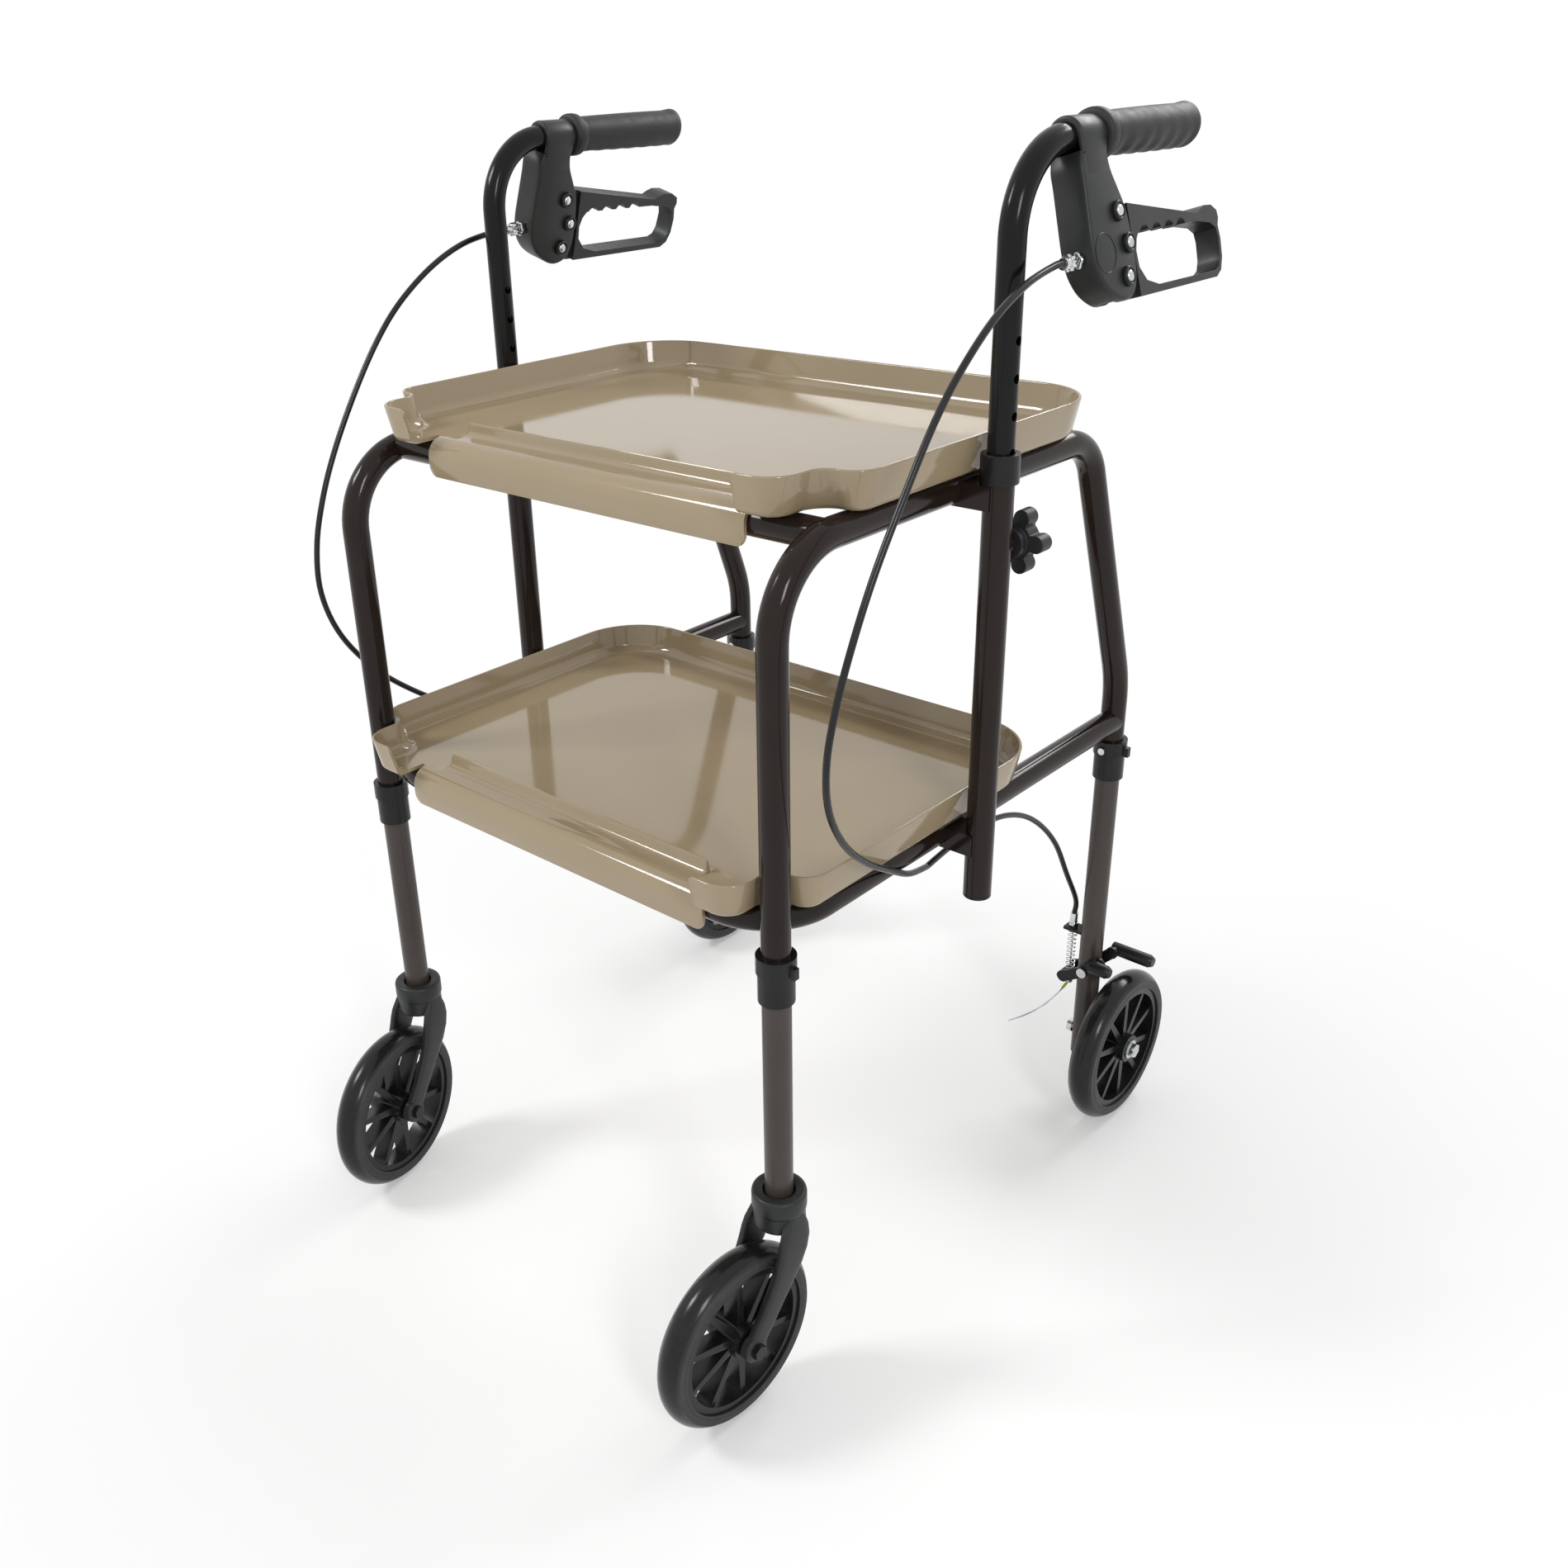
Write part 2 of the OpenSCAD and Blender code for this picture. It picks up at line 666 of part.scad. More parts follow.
// Handle tubes and grips
module handle_tube(side) {
  color(black) on_side(side) translate([socket_x, 0, 0]) difference() {
    stand_up() bent_rod(
      [[socket_y, handle_low_z], [socket_y, grip_z], [socket_y + handle_reach, grip_z]],
      [handle_bend_r], handle_d, tube_wall);
    for (k = [0 : hole_count - 1]) translate([-handle_d, socket_y, hole_low_z + k * hole_pitch])
      rotate([0, 90, 0]) cylinder(h = 2 * handle_d, d = hole_d);
  }
}

clamp_to_share = 0.78;
grip_back = housing_back + housing_w * clamp_to_share + rest_gap;
grip_wall_share = 0.9;
grip_end_share = 0.62;

module grip(side) {
  end = grip_back + grip_len;
  bore_r = handle_d / 2 + weld_gap;
  color(black) on_side(side) translate([socket_x, socket_y, grip_z]) rotate([-90, 0, 0]) difference() {
    rotate_extrude() polygon([
      [0, grip_back],
      [grip_flange_d / 2, grip_back],
      [grip_flange_d / 2, grip_back + grip_flange_t],
      [grip_d / 2 * grip_wall_share, grip_back + 2 * grip_flange_t],
      [grip_d / 2, grip_back + grip_len / 2],
      [grip_d / 2, end - grip_flange_t],
      [grip_d / 2 * grip_wall_share, end - grip_flange_t / 2],
      [grip_d / 2 * grip_end_share, end],
      [0, end]
    ]);
    cylinder(h = handle_reach + weld_gap, r = bore_r);
  }
}

// Brake handles: drawn hanging straight below the grip's centre line, then leaned outwards
module brake_place(side) {
  on_side(side) translate([socket_x, socket_y, grip_z]) rotate([0, -brake_lean, 0]) children();
}

// Outline of the housing below its clamp, as shares of its width and its drop
housing_shares = [
  [0.15, 0.00], [0.124, -0.10], [0.065, -0.182], [0.056, -0.291], [0.019, -0.50], [0.00, -0.655], [0.037, -0.782], [0.157, -0.882], [0.324, -0.95],
  [0.546, -1.00], [0.75, -0.995], [0.898, -0.945], [0.981, -0.845], [1.00, -0.70], [0.981, -0.545], [0.935, -0.436],
  [0.843, -0.336], [0.741, -0.227], [0.713, -0.127], [0.713, 0.00]
];
clamp_from_share = 0.157;
// Bolts from top to bottom, in the same shares: the first is the lever's pivot
bolt_shares = [[0.702, -0.475], [0.837, -0.671], [0.704, -0.866]];
slot_from_share = 0.53;
slot_top_share = -0.33;
adjuster_share = -0.71;
badge_share = [0.28, -0.705];
badge_d = 26;
badge_t = 0.8;
bolt_head_t = 4;
adjuster_d = 6;
adjuster_seat = 12;
adjuster_out = 20;
adjuster_nut_d = 11;
adjuster_nut_t = 4;

function housing_point(share) = [housing_back + housing_w * share[0], housing_drop * share[1]];
pivot_at = housing_point(bolt_shares[0]);

module housing_clamp() {
  translate([0, housing_back + housing_w * clamp_from_share, 0]) rotate([-90, 0, 0])
    cylinder(h = housing_w * (clamp_to_share - clamp_from_share), d = clamp_d);
}

module brake_housing(side) {
  slot_from = housing_back + housing_w * slot_from_share;
  color(black) brake_place(side) difference() {
    union() {
      housing_clamp();
      translate([-housing_t / 2, 0, 0]) stand_up() linear_extrude(housing_t)
        polygon([for (share = housing_shares) housing_point(share)]);
      translate([0, housing_point(badge_share)[0], housing_point(badge_share)[1]]) rotate([0, 90, 0])
        cylinder(h = housing_t / 2 + badge_t, d = badge_d);
    }
    translate([0, 0, 0]) rotate([-90, 0, 0]) cylinder(h = handle_reach, r = handle_d / 2 + weld_gap);
    translate([-lever_slot / 2, slot_from, -housing_drop - overrun])
      cube([lever_slot, housing_w, housing_drop * (1 + slot_top_share) + overrun]);
    for (share = bolt_shares) translate([-housing_t, housing_point(share)[0], housing_point(share)[1]])
      rotate([0, 90, 0]) cylinder(h = 2 * housing_t, d = bolt_d + 2 * weld_gap);
    translate([0, 0, housing_drop * adjuster_share]) rotate([-90, 0, 0])
      cylinder(h = housing_back + adjuster_seat, d = adjuster_d + 2 * weld_gap);
  }
}

module housing_bolts(side) {
  color(steel) brake_place(side) for (share = bolt_shares)
    translate([0, housing_point(share)[0], housing_point(share)[1]]) rotate([0, 90, 0]) {
      translate([0, 0, -housing_t / 2 - bolt_head_t]) cylinder(h = housing_t + 2 * bolt_head_t, d = bolt_d);
      for (end = [-1, 1]) translate([0, 0, end * (housing_t / 2 + weld_gap + bolt_head_t / 2)])
        cylinder(h = bolt_head_t, d = bolt_head_d, center = true);
    }
}

// Lever outlines, as shares of its reach behind the housing and of its height, from the loop's top root
lever_top_share = -0.4045;
lever_top = lever_top_share * housing_drop;
lever_shares = [
  [-0.156, -0.03], [-0.018, -0.03], [0.382, -0.159], [0.767, -0.28], [0.804, -0.242], [0.855, -0.212], [0.935, -0.22],
  [0.993, -0.288], [1.00, -0.371], [0.982, -0.447], [0.993, -0.598], [0.982, -0.795], [0.949, -0.932], [0.891, -0.997],
  [0.127, -1.00], [0.00, -1.00], [-0.156, -0.947]
];
loop_shares = [
  [0.062, -0.538], [0.084, -0.417], [0.12, -0.341], [0.745, -0.364], [0.898, -0.409], [0.956, -0.477], [0.968, -0.583],
  [0.957, -0.78], [0.929, -0.886], [0.884, -0.924], [0.244, -0.92], [0.127, -0.85], [0.069, -0.705]
];
scallop_shares = [0.178, 0.309, 0.44, 0.571];
scallop_level_share = -0.345;
scallop_d = 14;
root_back_share = 0.04;

function lever_point(share) =
  [housing_back + housing_w + lever_reach * share[0], lever_top + lever_h * share[1]];

module lever_outline() {
  difference() {
    polygon([for (share = lever_shares) lever_point(share)]);
    polygon([for (share = loop_shares) lever_point(share)]);
    for (share = scallop_shares) translate(lever_point([share, scallop_level_share]) + [0, -scallop_d / 4])
      circle(d = scallop_d);
  }
}

module brake_lever(side) {
  root_back = housing_back + housing_w + lever_reach * root_back_share;
  color(black) brake_place(side) difference() {
    union() {
      translate([-lever_root_w / 2, 0, 0]) stand_up() linear_extrude(lever_root_w) lever_outline();
      translate([-lever_w / 2, 0, 0]) stand_up() linear_extrude(lever_w) intersection() {
        lever_outline();
        translate([root_back, -housing_drop - lever_h]) square([lever_reach, housing_drop + lever_h]);
      }
    }
    translate([-lever_w, pivot_at[0], pivot_at[1]]) rotate([0, 90, 0])
      cylinder(h = 2 * lever_w, d = bolt_d + 2 * run_fit);
    // Curved slots that let the lever swing past the two fixed bolts
    for (i = [1, 2], turn = [0 : lever_squeeze / 4 : lever_squeeze])
      translate([-lever_w, pivot_at[0], pivot_at[1]]) rotate([-turn, 0, 0])
        translate(bolt_offset(i)) rotate([0, 90, 0]) cylinder(h = 2 * lever_w, d = bolt_d + 4 * rest_gap);
  }
}

function bolt_offset(i) = let (at = housing_point(bolt_shares[i]) - pivot_at) [0, at[0], at[1]];

module cable_adjuster(side) {
  color(steel) brake_place(side) translate([0, housing_back + adjuster_seat, housing_drop * adjuster_share])
    rotate([90, 0, 0]) {
      cylinder(h = adjuster_seat + adjuster_out, d = adjuster_d);
      translate([0, 0, adjuster_seat + rest_gap]) cylinder(h = adjuster_nut_t, d = adjuster_nut_d, $fn = 6);
      translate([0, 0, adjuster_seat + adjuster_out - adjuster_nut_t])
        cylinder(h = adjuster_nut_t, d = adjuster_d + 2 * overrun);
    }
}

// Brake cables: the upper run leaves the adjuster, swings round the front of the socket and ducks under
// the lower rail, where the lower run takes over and ends in the barrel adjuster above the brake spring
cable_sides = 8;
cable_steps = 3;
barrel_len = 11;
barrel_nut_t = 4;
barrel_top_z = cable_stop_z + cable_stop_t + barrel_nut_t + barrel_len;
adjuster_end_y = socket_y + housing_back - adjuster_out;
cable_drop = -housing_drop * adjuster_share;
cable_start = [
  socket_x + cable_drop * sin(brake_lean),
  adjuster_end_y - weld_gap,
  grip_z - cable_drop * cos(brake_lean)
];
cable_meet = [228, -32, 393];
cable_end = [side_x - cable_in, rear_y, barrel_top_z + weld_gap];
upper_route = concat([cable_start, cable_start - [0, 2 * cable_d, 0]], [
  [283, -25, 833], [284, -62, 817], [285, -98, 792], [285, -126, 764], [285, -154, 727], [284, -182, 684],
  [283, -202, 645], [281, -216, 606], [277, -221, 566], [271, -211, 526], [264, -185, 488], [257, -150, 457],
  [249, -112, 432], [239, -72, 408]
], [cable_meet]);
meet_next = [221, 20, 391];
meet_dir = unit(meet_next - upper_route[len(upper_route) - 2]);
lower_route = concat([cable_meet + weld_gap * meet_dir, meet_next], [
  [215, 84, 384], [212, 132, 368], [209, 174, 341], [206, 212, 304], [204, 241, 260]
], [cable_end + [0, 0, 3 * cable_d], cable_end]);

module cable(route, side, start_dir, end_dir) {
  color(black) on_side(side)
    swept_tube(smooth_route(route, cable_steps), cable_d, cable_sides, [1, 0, 0], start_dir, end_dir);
}

// Rear brakes: the cable lifts the inner tab, and the arm's outer bars come down on the tyre
cheek_t = 3;
cheek_w = 12;
cheek_in = tube_r + rest_gap;
tab_t = 3;
tab_w = 14;
tab_top_z = 139;
wire_d = 1.6;
wire_hole_d = 4.4;
bar_root = 16;
bar_low = 12.5;
bar_nose = 4;
bar_boss_d = 9;
brake_bar_y = 22;
pivot_head_t = 2.5;
pivot_head_d = 10;
stop_w = 14;
barrel_d = 7.8;
barrel_nut_d = 10;
barrel_foot = 2;
barrel_foot_d = 5;

module rear_brake_place(side) {
  on_side(side) translate([side_x, rear_y, 0]) children();
}

module cheek(y) {
  difference() {
    translate([0, y + cheek_t, 0]) rotate([90, 0, 0]) linear_extrude(cheek_t) {
      link([-cable_in, tab_top_z], [0, brake_pivot_z], cheek_w);
      link([0, brake_pivot_z], [bar_root, brake_bar_z], cheek_w);
    }
    translate([0, y - overrun, brake_pivot_z]) rotate([-90, 0, 0])
      cylinder(h = cheek_t + 2 * overrun, d = pivot_pin_d + 2 * run_fit);
  }
}

module round_bar(y, reach) {
  translate([bar_low, y, brake_bar_z]) rotate([0, 90, 0]) {
    cylinder(h = reach - bar_low - bar_nose, d = brake_bar_d);
    translate([0, 0, reach - bar_low - bar_nose]) cylinder(h = bar_nose, d1 = brake_bar_d, d2 = brake_bar_d - bar_nose);
  }
}

module brake_arm(side) {
  color(black) rear_brake_place(side) {
    cheek(cheek_in);
    cheek(-cheek_in - cheek_t);
    difference() {
      translate([-cable_in - tab_w / 2, -cheek_in - cheek_t / 2, tab_top_z - tab_t])
        cube([tab_w, 2 * cheek_in + cheek_t, tab_t]);
      translate([-cable_in, 0, tab_top_z - tab_t - overrun]) cylinder(h = tab_t + 2 * overrun, d = wire_hole_d);
    }
    for (end = [-1, 1]) translate([bar_root, end * (cheek_in + bite), brake_bar_z]) rotate([-90 * end, 0, 0])
      cylinder(h = brake_bar_y - cheek_in, d = bar_boss_d);
    round_bar(-brake_bar_y, step_bar_reach);
    round_bar(brake_bar_y, brake_bar_reach);
  }
}

module brake_pivots() {
  reach = cheek_in + cheek_t + rest_gap;
  color(steel) for (side = [-1, 1]) rear_brake_place(side) translate([0, 0, brake_pivot_z]) rotate([-90, 0, 0]) {
    cylinder(h = 2 * reach + pivot_head_t, d = pivot_pin_d, center = true);
    for (end = [-1, 1]) translate([0, 0, end * (reach + pivot_head_t / 2)])
      cylinder(h = pivot_head_t, d = pivot_head_d, center = true);
  }
}

module cable_stops() {
  color(brown) for (side = [-1, 1]) rear_brake_place(side) difference() {
    translate([-cable_in - stop_w / 2, -stop_w / 2, cable_stop_z])
      cube([cable_in + stop_w / 2, stop_w, cable_stop_t]);
    translate([0, 0, cable_stop_z - overrun]) cylinder(h = cable_stop_t + 2 * overrun, r = tube_r + weld_gap);
    translate([-cable_in, 0, cable_stop_z - overrun])
      cylinder(h = cable_stop_t + 2 * overrun, d = barrel_foot_d + 2 * weld_gap);
  }
}

module barrel_adjusters() {
  color(steel) for (side = [-1, 1]) rear_brake_place(side) translate([-cable_in, 0, 0]) {
    translate([0, 0, cable_stop_z - barrel_foot])
      cylinder(h = barrel_foot + cable_stop_t + barrel_nut_t, d = barrel_foot_d);
    translate([0, 0, cable_stop_z + cable_stop_t + weld_gap])
      cylinder(h = barrel_nut_t, d = barrel_nut_d, $fn = 6);
    translate([0, 0, cable_stop_z + cable_stop_t + barrel_nut_t]) cylinder(h = barrel_len, d = barrel_d);
  }
}

// Spring round the bare wire, between the cable stop and the arm's tab
pinch_top_z = tab_top_z - tab_t - weld_gap;
spring_rings = 8;
spring_sides = 6;
spring_low_z = tab_top_z + weld_gap;
spring_high_z = cable_stop_z - weld_gap;
spring_rise = spring_high_z - spring_low_z - 2 * spring_wire_d;
spring_steps = spring_turns * spring_rings;
spring_path = concat(
  [[spring_d / 2, 0, spring_low_z]],
  [for (i = [0 : spring_steps]) let (turn = 360 * i / spring_rings)
    [spring_d / 2 * cos(turn), spring_d / 2 * sin(turn), spring_low_z + spring_wire_d + spring_rise * i / spring_steps]],
  [[spring_d / 2, 0, spring_high_z]]
);
spring_gap = min([
  for (i = [0 : len(spring_path) - 1], k = [i + spring_rings / 2 : 1 : min(i + 2 * spring_rings, len(spring_path) - 1)])
    norm(spring_path[i] - spring_path[k])
]) - spring_wire_d;
echo(least_gap_in_brake_spring = spring_gap);

module brake_spring(side) {
  color(steel) rear_brake_place(side) translate([-cable_in, 0, 0]) {
    swept_tube(spring_path, spring_wire_d, spring_sides, [1, 0, 0]);
    translate([0, 0, pinch_top_z + weld_gap])
      cylinder(h = cable_stop_z - barrel_foot - pinch_top_z - 2 * weld_gap, d = wire_d);
  }
}

// Pinch bolt below the tab, with the loose end of the wire
pinch_d = 8;
pinch_h = 11;
pinch_screw_d = 6;
pinch_screw_len = 6;
tail_sides = 6;
tail_route = [
  [-21, -2, 126], [-22, -12, 122], [-25, -26, 116], [-30, -42, 111], [-37, -58, 108], [-45, -72, 106]
];

module cable_tail(side) {
  color(steel) rear_brake_place(side) {
    translate([-cable_in, 0, pinch_top_z - pinch_h]) cylinder(h = pinch_h, d = pinch_d);
    translate([-cable_in, 0, pinch_top_z - pinch_h / 2]) rotate([0, -90, 0])
      cylinder(h = pinch_d / 2 + pinch_screw_len, d = pinch_screw_d, $fn = 6);
    swept_tube(smooth_route(tail_route, cable_steps), wire_d, tail_sides, [1, 0, 0]);
  }
}

// Clamp knobs behind the sockets
knob_lobes = 5;
knob_lobe_w = 13;
knob_hub_len = 13;

module knob(side) {
  seat = socket_d / 2 + knob_boss_len + rest_gap;
  tip = handle_d / 2 + slide_fit + weld_gap;
  color(black) on_side(side) translate([socket_x, socket_y, knob_z]) rotate([-90, 0, 0]) {
    translate([0, 0, tip]) cylinder(h = seat + bite - tip, d = knob_screw_d);
    translate([0, 0, seat]) cylinder(h = knob_hub_len, d = knob_hub_d);
    translate([0, 0, seat + knob_hub_len - knob_t / 2]) linear_extrude(knob_t) {
      circle(d = knob_hub_d + knob_lobe_w / 2);
      for (k = [0 : knob_lobes - 1]) rotate(360 * k / knob_lobes)
        link([0, 0], [knob_d / 2 - knob_lobe_w / 2, 0], knob_lobe_w);
    }
  }
}

// Trays: drawn with Y from the front edge and Z from the rails' centre line
tray_half = side_x + tray_overhang;
floor_z = tube_r + rest_gap;
leg_notch_x = side_x;
lobe_half = leg_notch_x - notch_r;
hook_gap = 4;
lip_t = 4;
lip_clear = 3;
lip_y = tray_lead + tube_r + lip_clear;
hook_in = tube_r + rest_gap;

// A rectangle with its two rear corners, and any front corners, rounded
module round_plan(half, front, back, front_r, back_r) {
  translate([-half, front + front_r]) square([2 * half, back - back_r - front - front_r]);
  translate([-half + front_r, front]) square([2 * (half - front_r), back - front - back_r]);
  translate([-half + back_r, back - back_r - bite]) square([2 * (half - back_r), back_r + bite]);
  for (x = [-1, 1]) {
    translate([x * (half - back_r), back - back_r]) circle(r = back_r);
    translate([x * (half - front_r), front + front_r]) circle(r = front_r);
  }
}

// Plan of a tray, drawn in by an inset: body behind the leg notches, lobes before them
module tray_plan(inset) {
  neck_y = tray_lead + notch_r;
  round_plan(tray_half - inset, neck_y + inset, tray_len - inset, shoulder_r - inset, tray_corner_r - inset);
  round_plan(lobe_half - inset, inset, neck_y + shoulder_r, lobe_r - inset, bite);
  fillet_w = notch_r + inset;
  for (x = [-1, 1]) difference() {
    translate([x * (leg_notch_x - fillet_w / 2) - fillet_w / 2, tray_lead])
      square([fillet_w, neck_y + inset - tray_lead + bite]);
    translate([x * leg_notch_x, tray_lead]) circle(r = fillet_w);
  }
}

module front_cut() {
  translate([-hook_half - hook_gap, -overrun]) square([2 * (hook_half + hook_gap), tray_lead + overrun]);
}

// Profile of the hook over the cross tube, in Y and Z
module hook_profile() {
  difference() {
    union() {
      translate([tray_lead, 0]) circle(r = hook_in + tray_wall);
      translate([tray_lead - hook_in - tray_wall, -skirt_drop]) square([tray_wall, skirt_drop]);
      translate([tray_lead, hook_in]) square([lip_y - tray_lead + tray_wall, tray_wall]);
    }
    translate([tray_lead, 0]) circle(r = hook_in);
    translate([tray_lead - hook_in, -skirt_drop - tube_d]) square([2 * tube_d, skirt_drop + tube_d]);
    translate([tray_lead, -tube_d]) square([tube_d, tube_d + hook_in]);
    translate([tray_lead - tube_d, -skirt_drop - tube_d]) square([2 * tube_d, tube_d]);
  }
}

module tray(cross_y, rail_z) {
  color(tan) translate([0, cross_y - tray_lead, rail_z]) {
    translate([0, 0, floor_z]) linear_extrude(rim_h) difference() {
      tray_plan(0);
      tray_plan(tray_wall);
      front_cut();
    }
    translate([0, 0, floor_z]) linear_extrude(tray_wall) difference() {
      tray_plan(0);
      front_cut();
    }
    translate([-hook_half, 0, 0]) stand_up() linear_extrude(2 * hook_half) hook_profile();
    translate([-lip_half, lip_y - lip_t / 2, floor_z]) cube([2 * lip_half, lip_t, tray_wall + lip_h]);
  }
}

side_frame(1);  // side_frame_right
side_frame(-1);  // side_frame_left
front_cross_tube();
lower_frame();
socket_tube(1);  // socket_tube_right
socket_tube(-1);  // socket_tube_left
socket_brackets();
tube_caps();
leg_collars();
front_leg(1);  // front_leg_right
front_leg(-1);  // front_leg_left
rear_leg(1);  // rear_leg_right
rear_leg(-1);  // rear_leg_left
leg_button(1, front_y, 1);  // leg_button_front_right
leg_button(-1, front_y, 1);  // leg_button_front_left
leg_button(1, rear_y, -1);  // leg_button_rear_right
leg_button(-1, rear_y, -1);  // leg_button_rear_left
caster_stems();
fork(1);  // fork_right
fork(-1);  // fork_left
front_axle(1);  // front_axle_right
front_axle(-1);  // front_axle_left
color(black) front_wheel_place(1) wheel_rim();  // front_rim_right
color(black) front_wheel_place(-1) wheel_rim();  // front_rim_left
color(grey) front_wheel_place(1) tyre();  // front_tyre_right
color(grey) front_wheel_place(-1) tyre();  // front_tyre_left
rear_axles();
color(black) rear_wheel_place(1) wheel_rim();  // rear_rim_right
color(black) rear_wheel_place(-1) wheel_rim();  // rear_rim_left
color(grey) rear_wheel_place(1) tyre();  // rear_tyre_right
color(grey) rear_wheel_place(-1) tyre();  // rear_tyre_left
handle_tube(1);  // handle_tube_right
handle_tube(-1);  // handle_tube_left
grip(1);  // grip_right
grip(-1);  // grip_left
brake_housing(1);  // brake_housing_right
brake_housing(-1);  // brake_housing_left
housing_bolts(1);  // housing_bolts_right
housing_bolts(-1);  // housing_bolts_left
brake_lever(1);  // brake_lever_right
brake_lever(-1);  // brake_lever_left
cable_adjuster(1);  // cable_adjuster_right
cable_adjuster(-1);  // cable_adjuster_left
cable(upper_route, 1, [0, -1, 0], meet_dir);  // cable_upper_right
cable(upper_route, -1, [0, -1, 0], meet_dir);  // cable_upper_left
cable(lower_route, 1, meet_dir, [0, 0, -1]);  // cable_lower_right
cable(lower_route, -1, meet_dir, [0, 0, -1]);  // cable_lower_left
cable_stops();
barrel_adjusters();
brake_spring(1);  // brake_spring_right
brake_spring(-1);  // brake_spring_left
brake_pivots();
brake_arm(1);  // brake_arm_right
brake_arm(-1);  // brake_arm_left
cable_tail(1);  // cable_tail_right
cable_tail(-1);  // cable_tail_left
knob(1);  // knob_right
knob(-1);  // knob_left
tray(upper_cross_y, upper_rail_z);  // upper_tray
tray(front_y, lower_rail_z);  // lower_tray
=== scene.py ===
"""Looks of the indoor walker: camera, materials, dressed pieces and light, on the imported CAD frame.

Lengths are in millimetres, as in the CAD model, unless a comment says metres.
"""
import json
import math

import bmesh
import bpy
from mathutils import Matrix, Vector

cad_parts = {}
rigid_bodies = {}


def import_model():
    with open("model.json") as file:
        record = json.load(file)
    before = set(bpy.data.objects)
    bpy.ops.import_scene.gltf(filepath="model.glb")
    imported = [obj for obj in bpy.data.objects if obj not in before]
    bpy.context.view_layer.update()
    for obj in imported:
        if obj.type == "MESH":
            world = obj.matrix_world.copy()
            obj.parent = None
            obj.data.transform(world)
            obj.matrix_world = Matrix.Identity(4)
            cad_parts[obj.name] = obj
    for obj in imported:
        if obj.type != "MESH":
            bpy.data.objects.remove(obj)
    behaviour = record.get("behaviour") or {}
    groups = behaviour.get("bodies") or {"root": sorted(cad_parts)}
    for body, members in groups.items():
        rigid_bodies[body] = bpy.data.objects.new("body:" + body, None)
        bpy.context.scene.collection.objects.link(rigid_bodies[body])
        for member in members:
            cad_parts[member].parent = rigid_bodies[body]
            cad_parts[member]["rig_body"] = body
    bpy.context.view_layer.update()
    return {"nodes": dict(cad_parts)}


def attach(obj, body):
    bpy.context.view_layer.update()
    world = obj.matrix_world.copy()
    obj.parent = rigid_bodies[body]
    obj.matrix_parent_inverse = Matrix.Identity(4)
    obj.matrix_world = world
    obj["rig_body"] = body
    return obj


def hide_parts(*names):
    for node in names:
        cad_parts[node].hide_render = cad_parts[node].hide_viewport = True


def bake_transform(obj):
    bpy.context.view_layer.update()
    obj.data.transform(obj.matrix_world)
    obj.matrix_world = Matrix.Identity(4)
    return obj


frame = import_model()
NODES = frame["nodes"]
SIDES = ((1, "right"), (-1, "left"))
ENDS = ("front", "rear")

# Driving sizes of the CAD model
FRONT_Y, REAR_Y, SOCKET_Y = -211.75, 264.25, -6.25
SIDE_X, SOCKET_X = 225.0, 259.0
LOWER_RAIL_Z, UPPER_RAIL_Z, GRIP_Z = 417.0, 690.0, 915.0
UPPER_CROSS_IN = 54.0
WHEEL_R, REAR_WHEEL_X = 77.0, 261.0
CASTER_TRAIL = 52.5
CASTER_TURN = {1: math.radians(-3), -1: math.radians(14)}
BRAKE_IN = 21.0
BRAKE_X = SIDE_X - BRAKE_IN
HOUSING_BACK, HOUSING_W, HOUSING_DROP, HOUSING_T = 48.5, 54.0, 110.0, 25.0
HANDLE_LEAN = math.radians(16)
ADJUSTER_SHARE, ADJUSTER_REACH = 0.71, 20.0


def mm(point):
    """A point in metres, from millimetres."""
    return Vector(point) / 1000


def link(ob):
    bpy.context.scene.collection.objects.link(ob)


# Camera, fitted to the photograph
PHOTO_PX, FOCAL_PX, CENTRE_PX = 1899, 1791.94, (845.58, 938.80)
CAMERA_AT = (801.2, -887.75, 963.1)
CAMERA_TURN = (43.675, 25.461, -2.156)
SENSOR = 36
CLIP_M = (0.05, 60)


def make_camera():
    azimuth, elevation, roll = (math.radians(a) for a in CAMERA_TURN)
    level = math.cos(elevation)
    ahead = Vector((-math.sin(azimuth) * level, math.cos(azimuth) * level, -math.sin(elevation)))
    right = Vector((math.cos(azimuth), math.sin(azimuth), 0))
    up = right.cross(ahead)
    rolled_right = math.cos(roll) * right + math.sin(roll) * up
    rolled_up = -math.sin(roll) * right + math.cos(roll) * up
    data = bpy.data.cameras.new("camera")
    cam = bpy.data.objects.new("camera", data)
    link(cam)
    data.sensor_width = SENSOR
    data.lens = SENSOR * FOCAL_PX / PHOTO_PX
    data.shift_x = (PHOTO_PX / 2 - CENTRE_PX[0]) / PHOTO_PX
    data.shift_y = (CENTRE_PX[1] - PHOTO_PX / 2) / PHOTO_PX
    data.clip_start, data.clip_end = CLIP_M
    turn = Matrix((rolled_right, rolled_up, -ahead)).transposed().to_4x4()
    cam.matrix_world = Matrix.Translation(mm(CAMERA_AT)) @ turn
    bpy.context.scene.camera = cam


make_camera()

# Shader helpers: where in a noise's range a colour and a gloss change
RAMP_SHARES, GLOSS_SHARES = (0.35, 0.65), (0.3, 0.7)
WEAR_SCALE = 4


def shader(name):
    """A new material, its node tree, its shader and its coordinates."""
    material = bpy.data.materials.new(name)
    material.use_nodes = True
    tree = material.node_tree
    return material, tree, tree.nodes["Principled BSDF"], tree.nodes.new("ShaderNodeTexCoord")


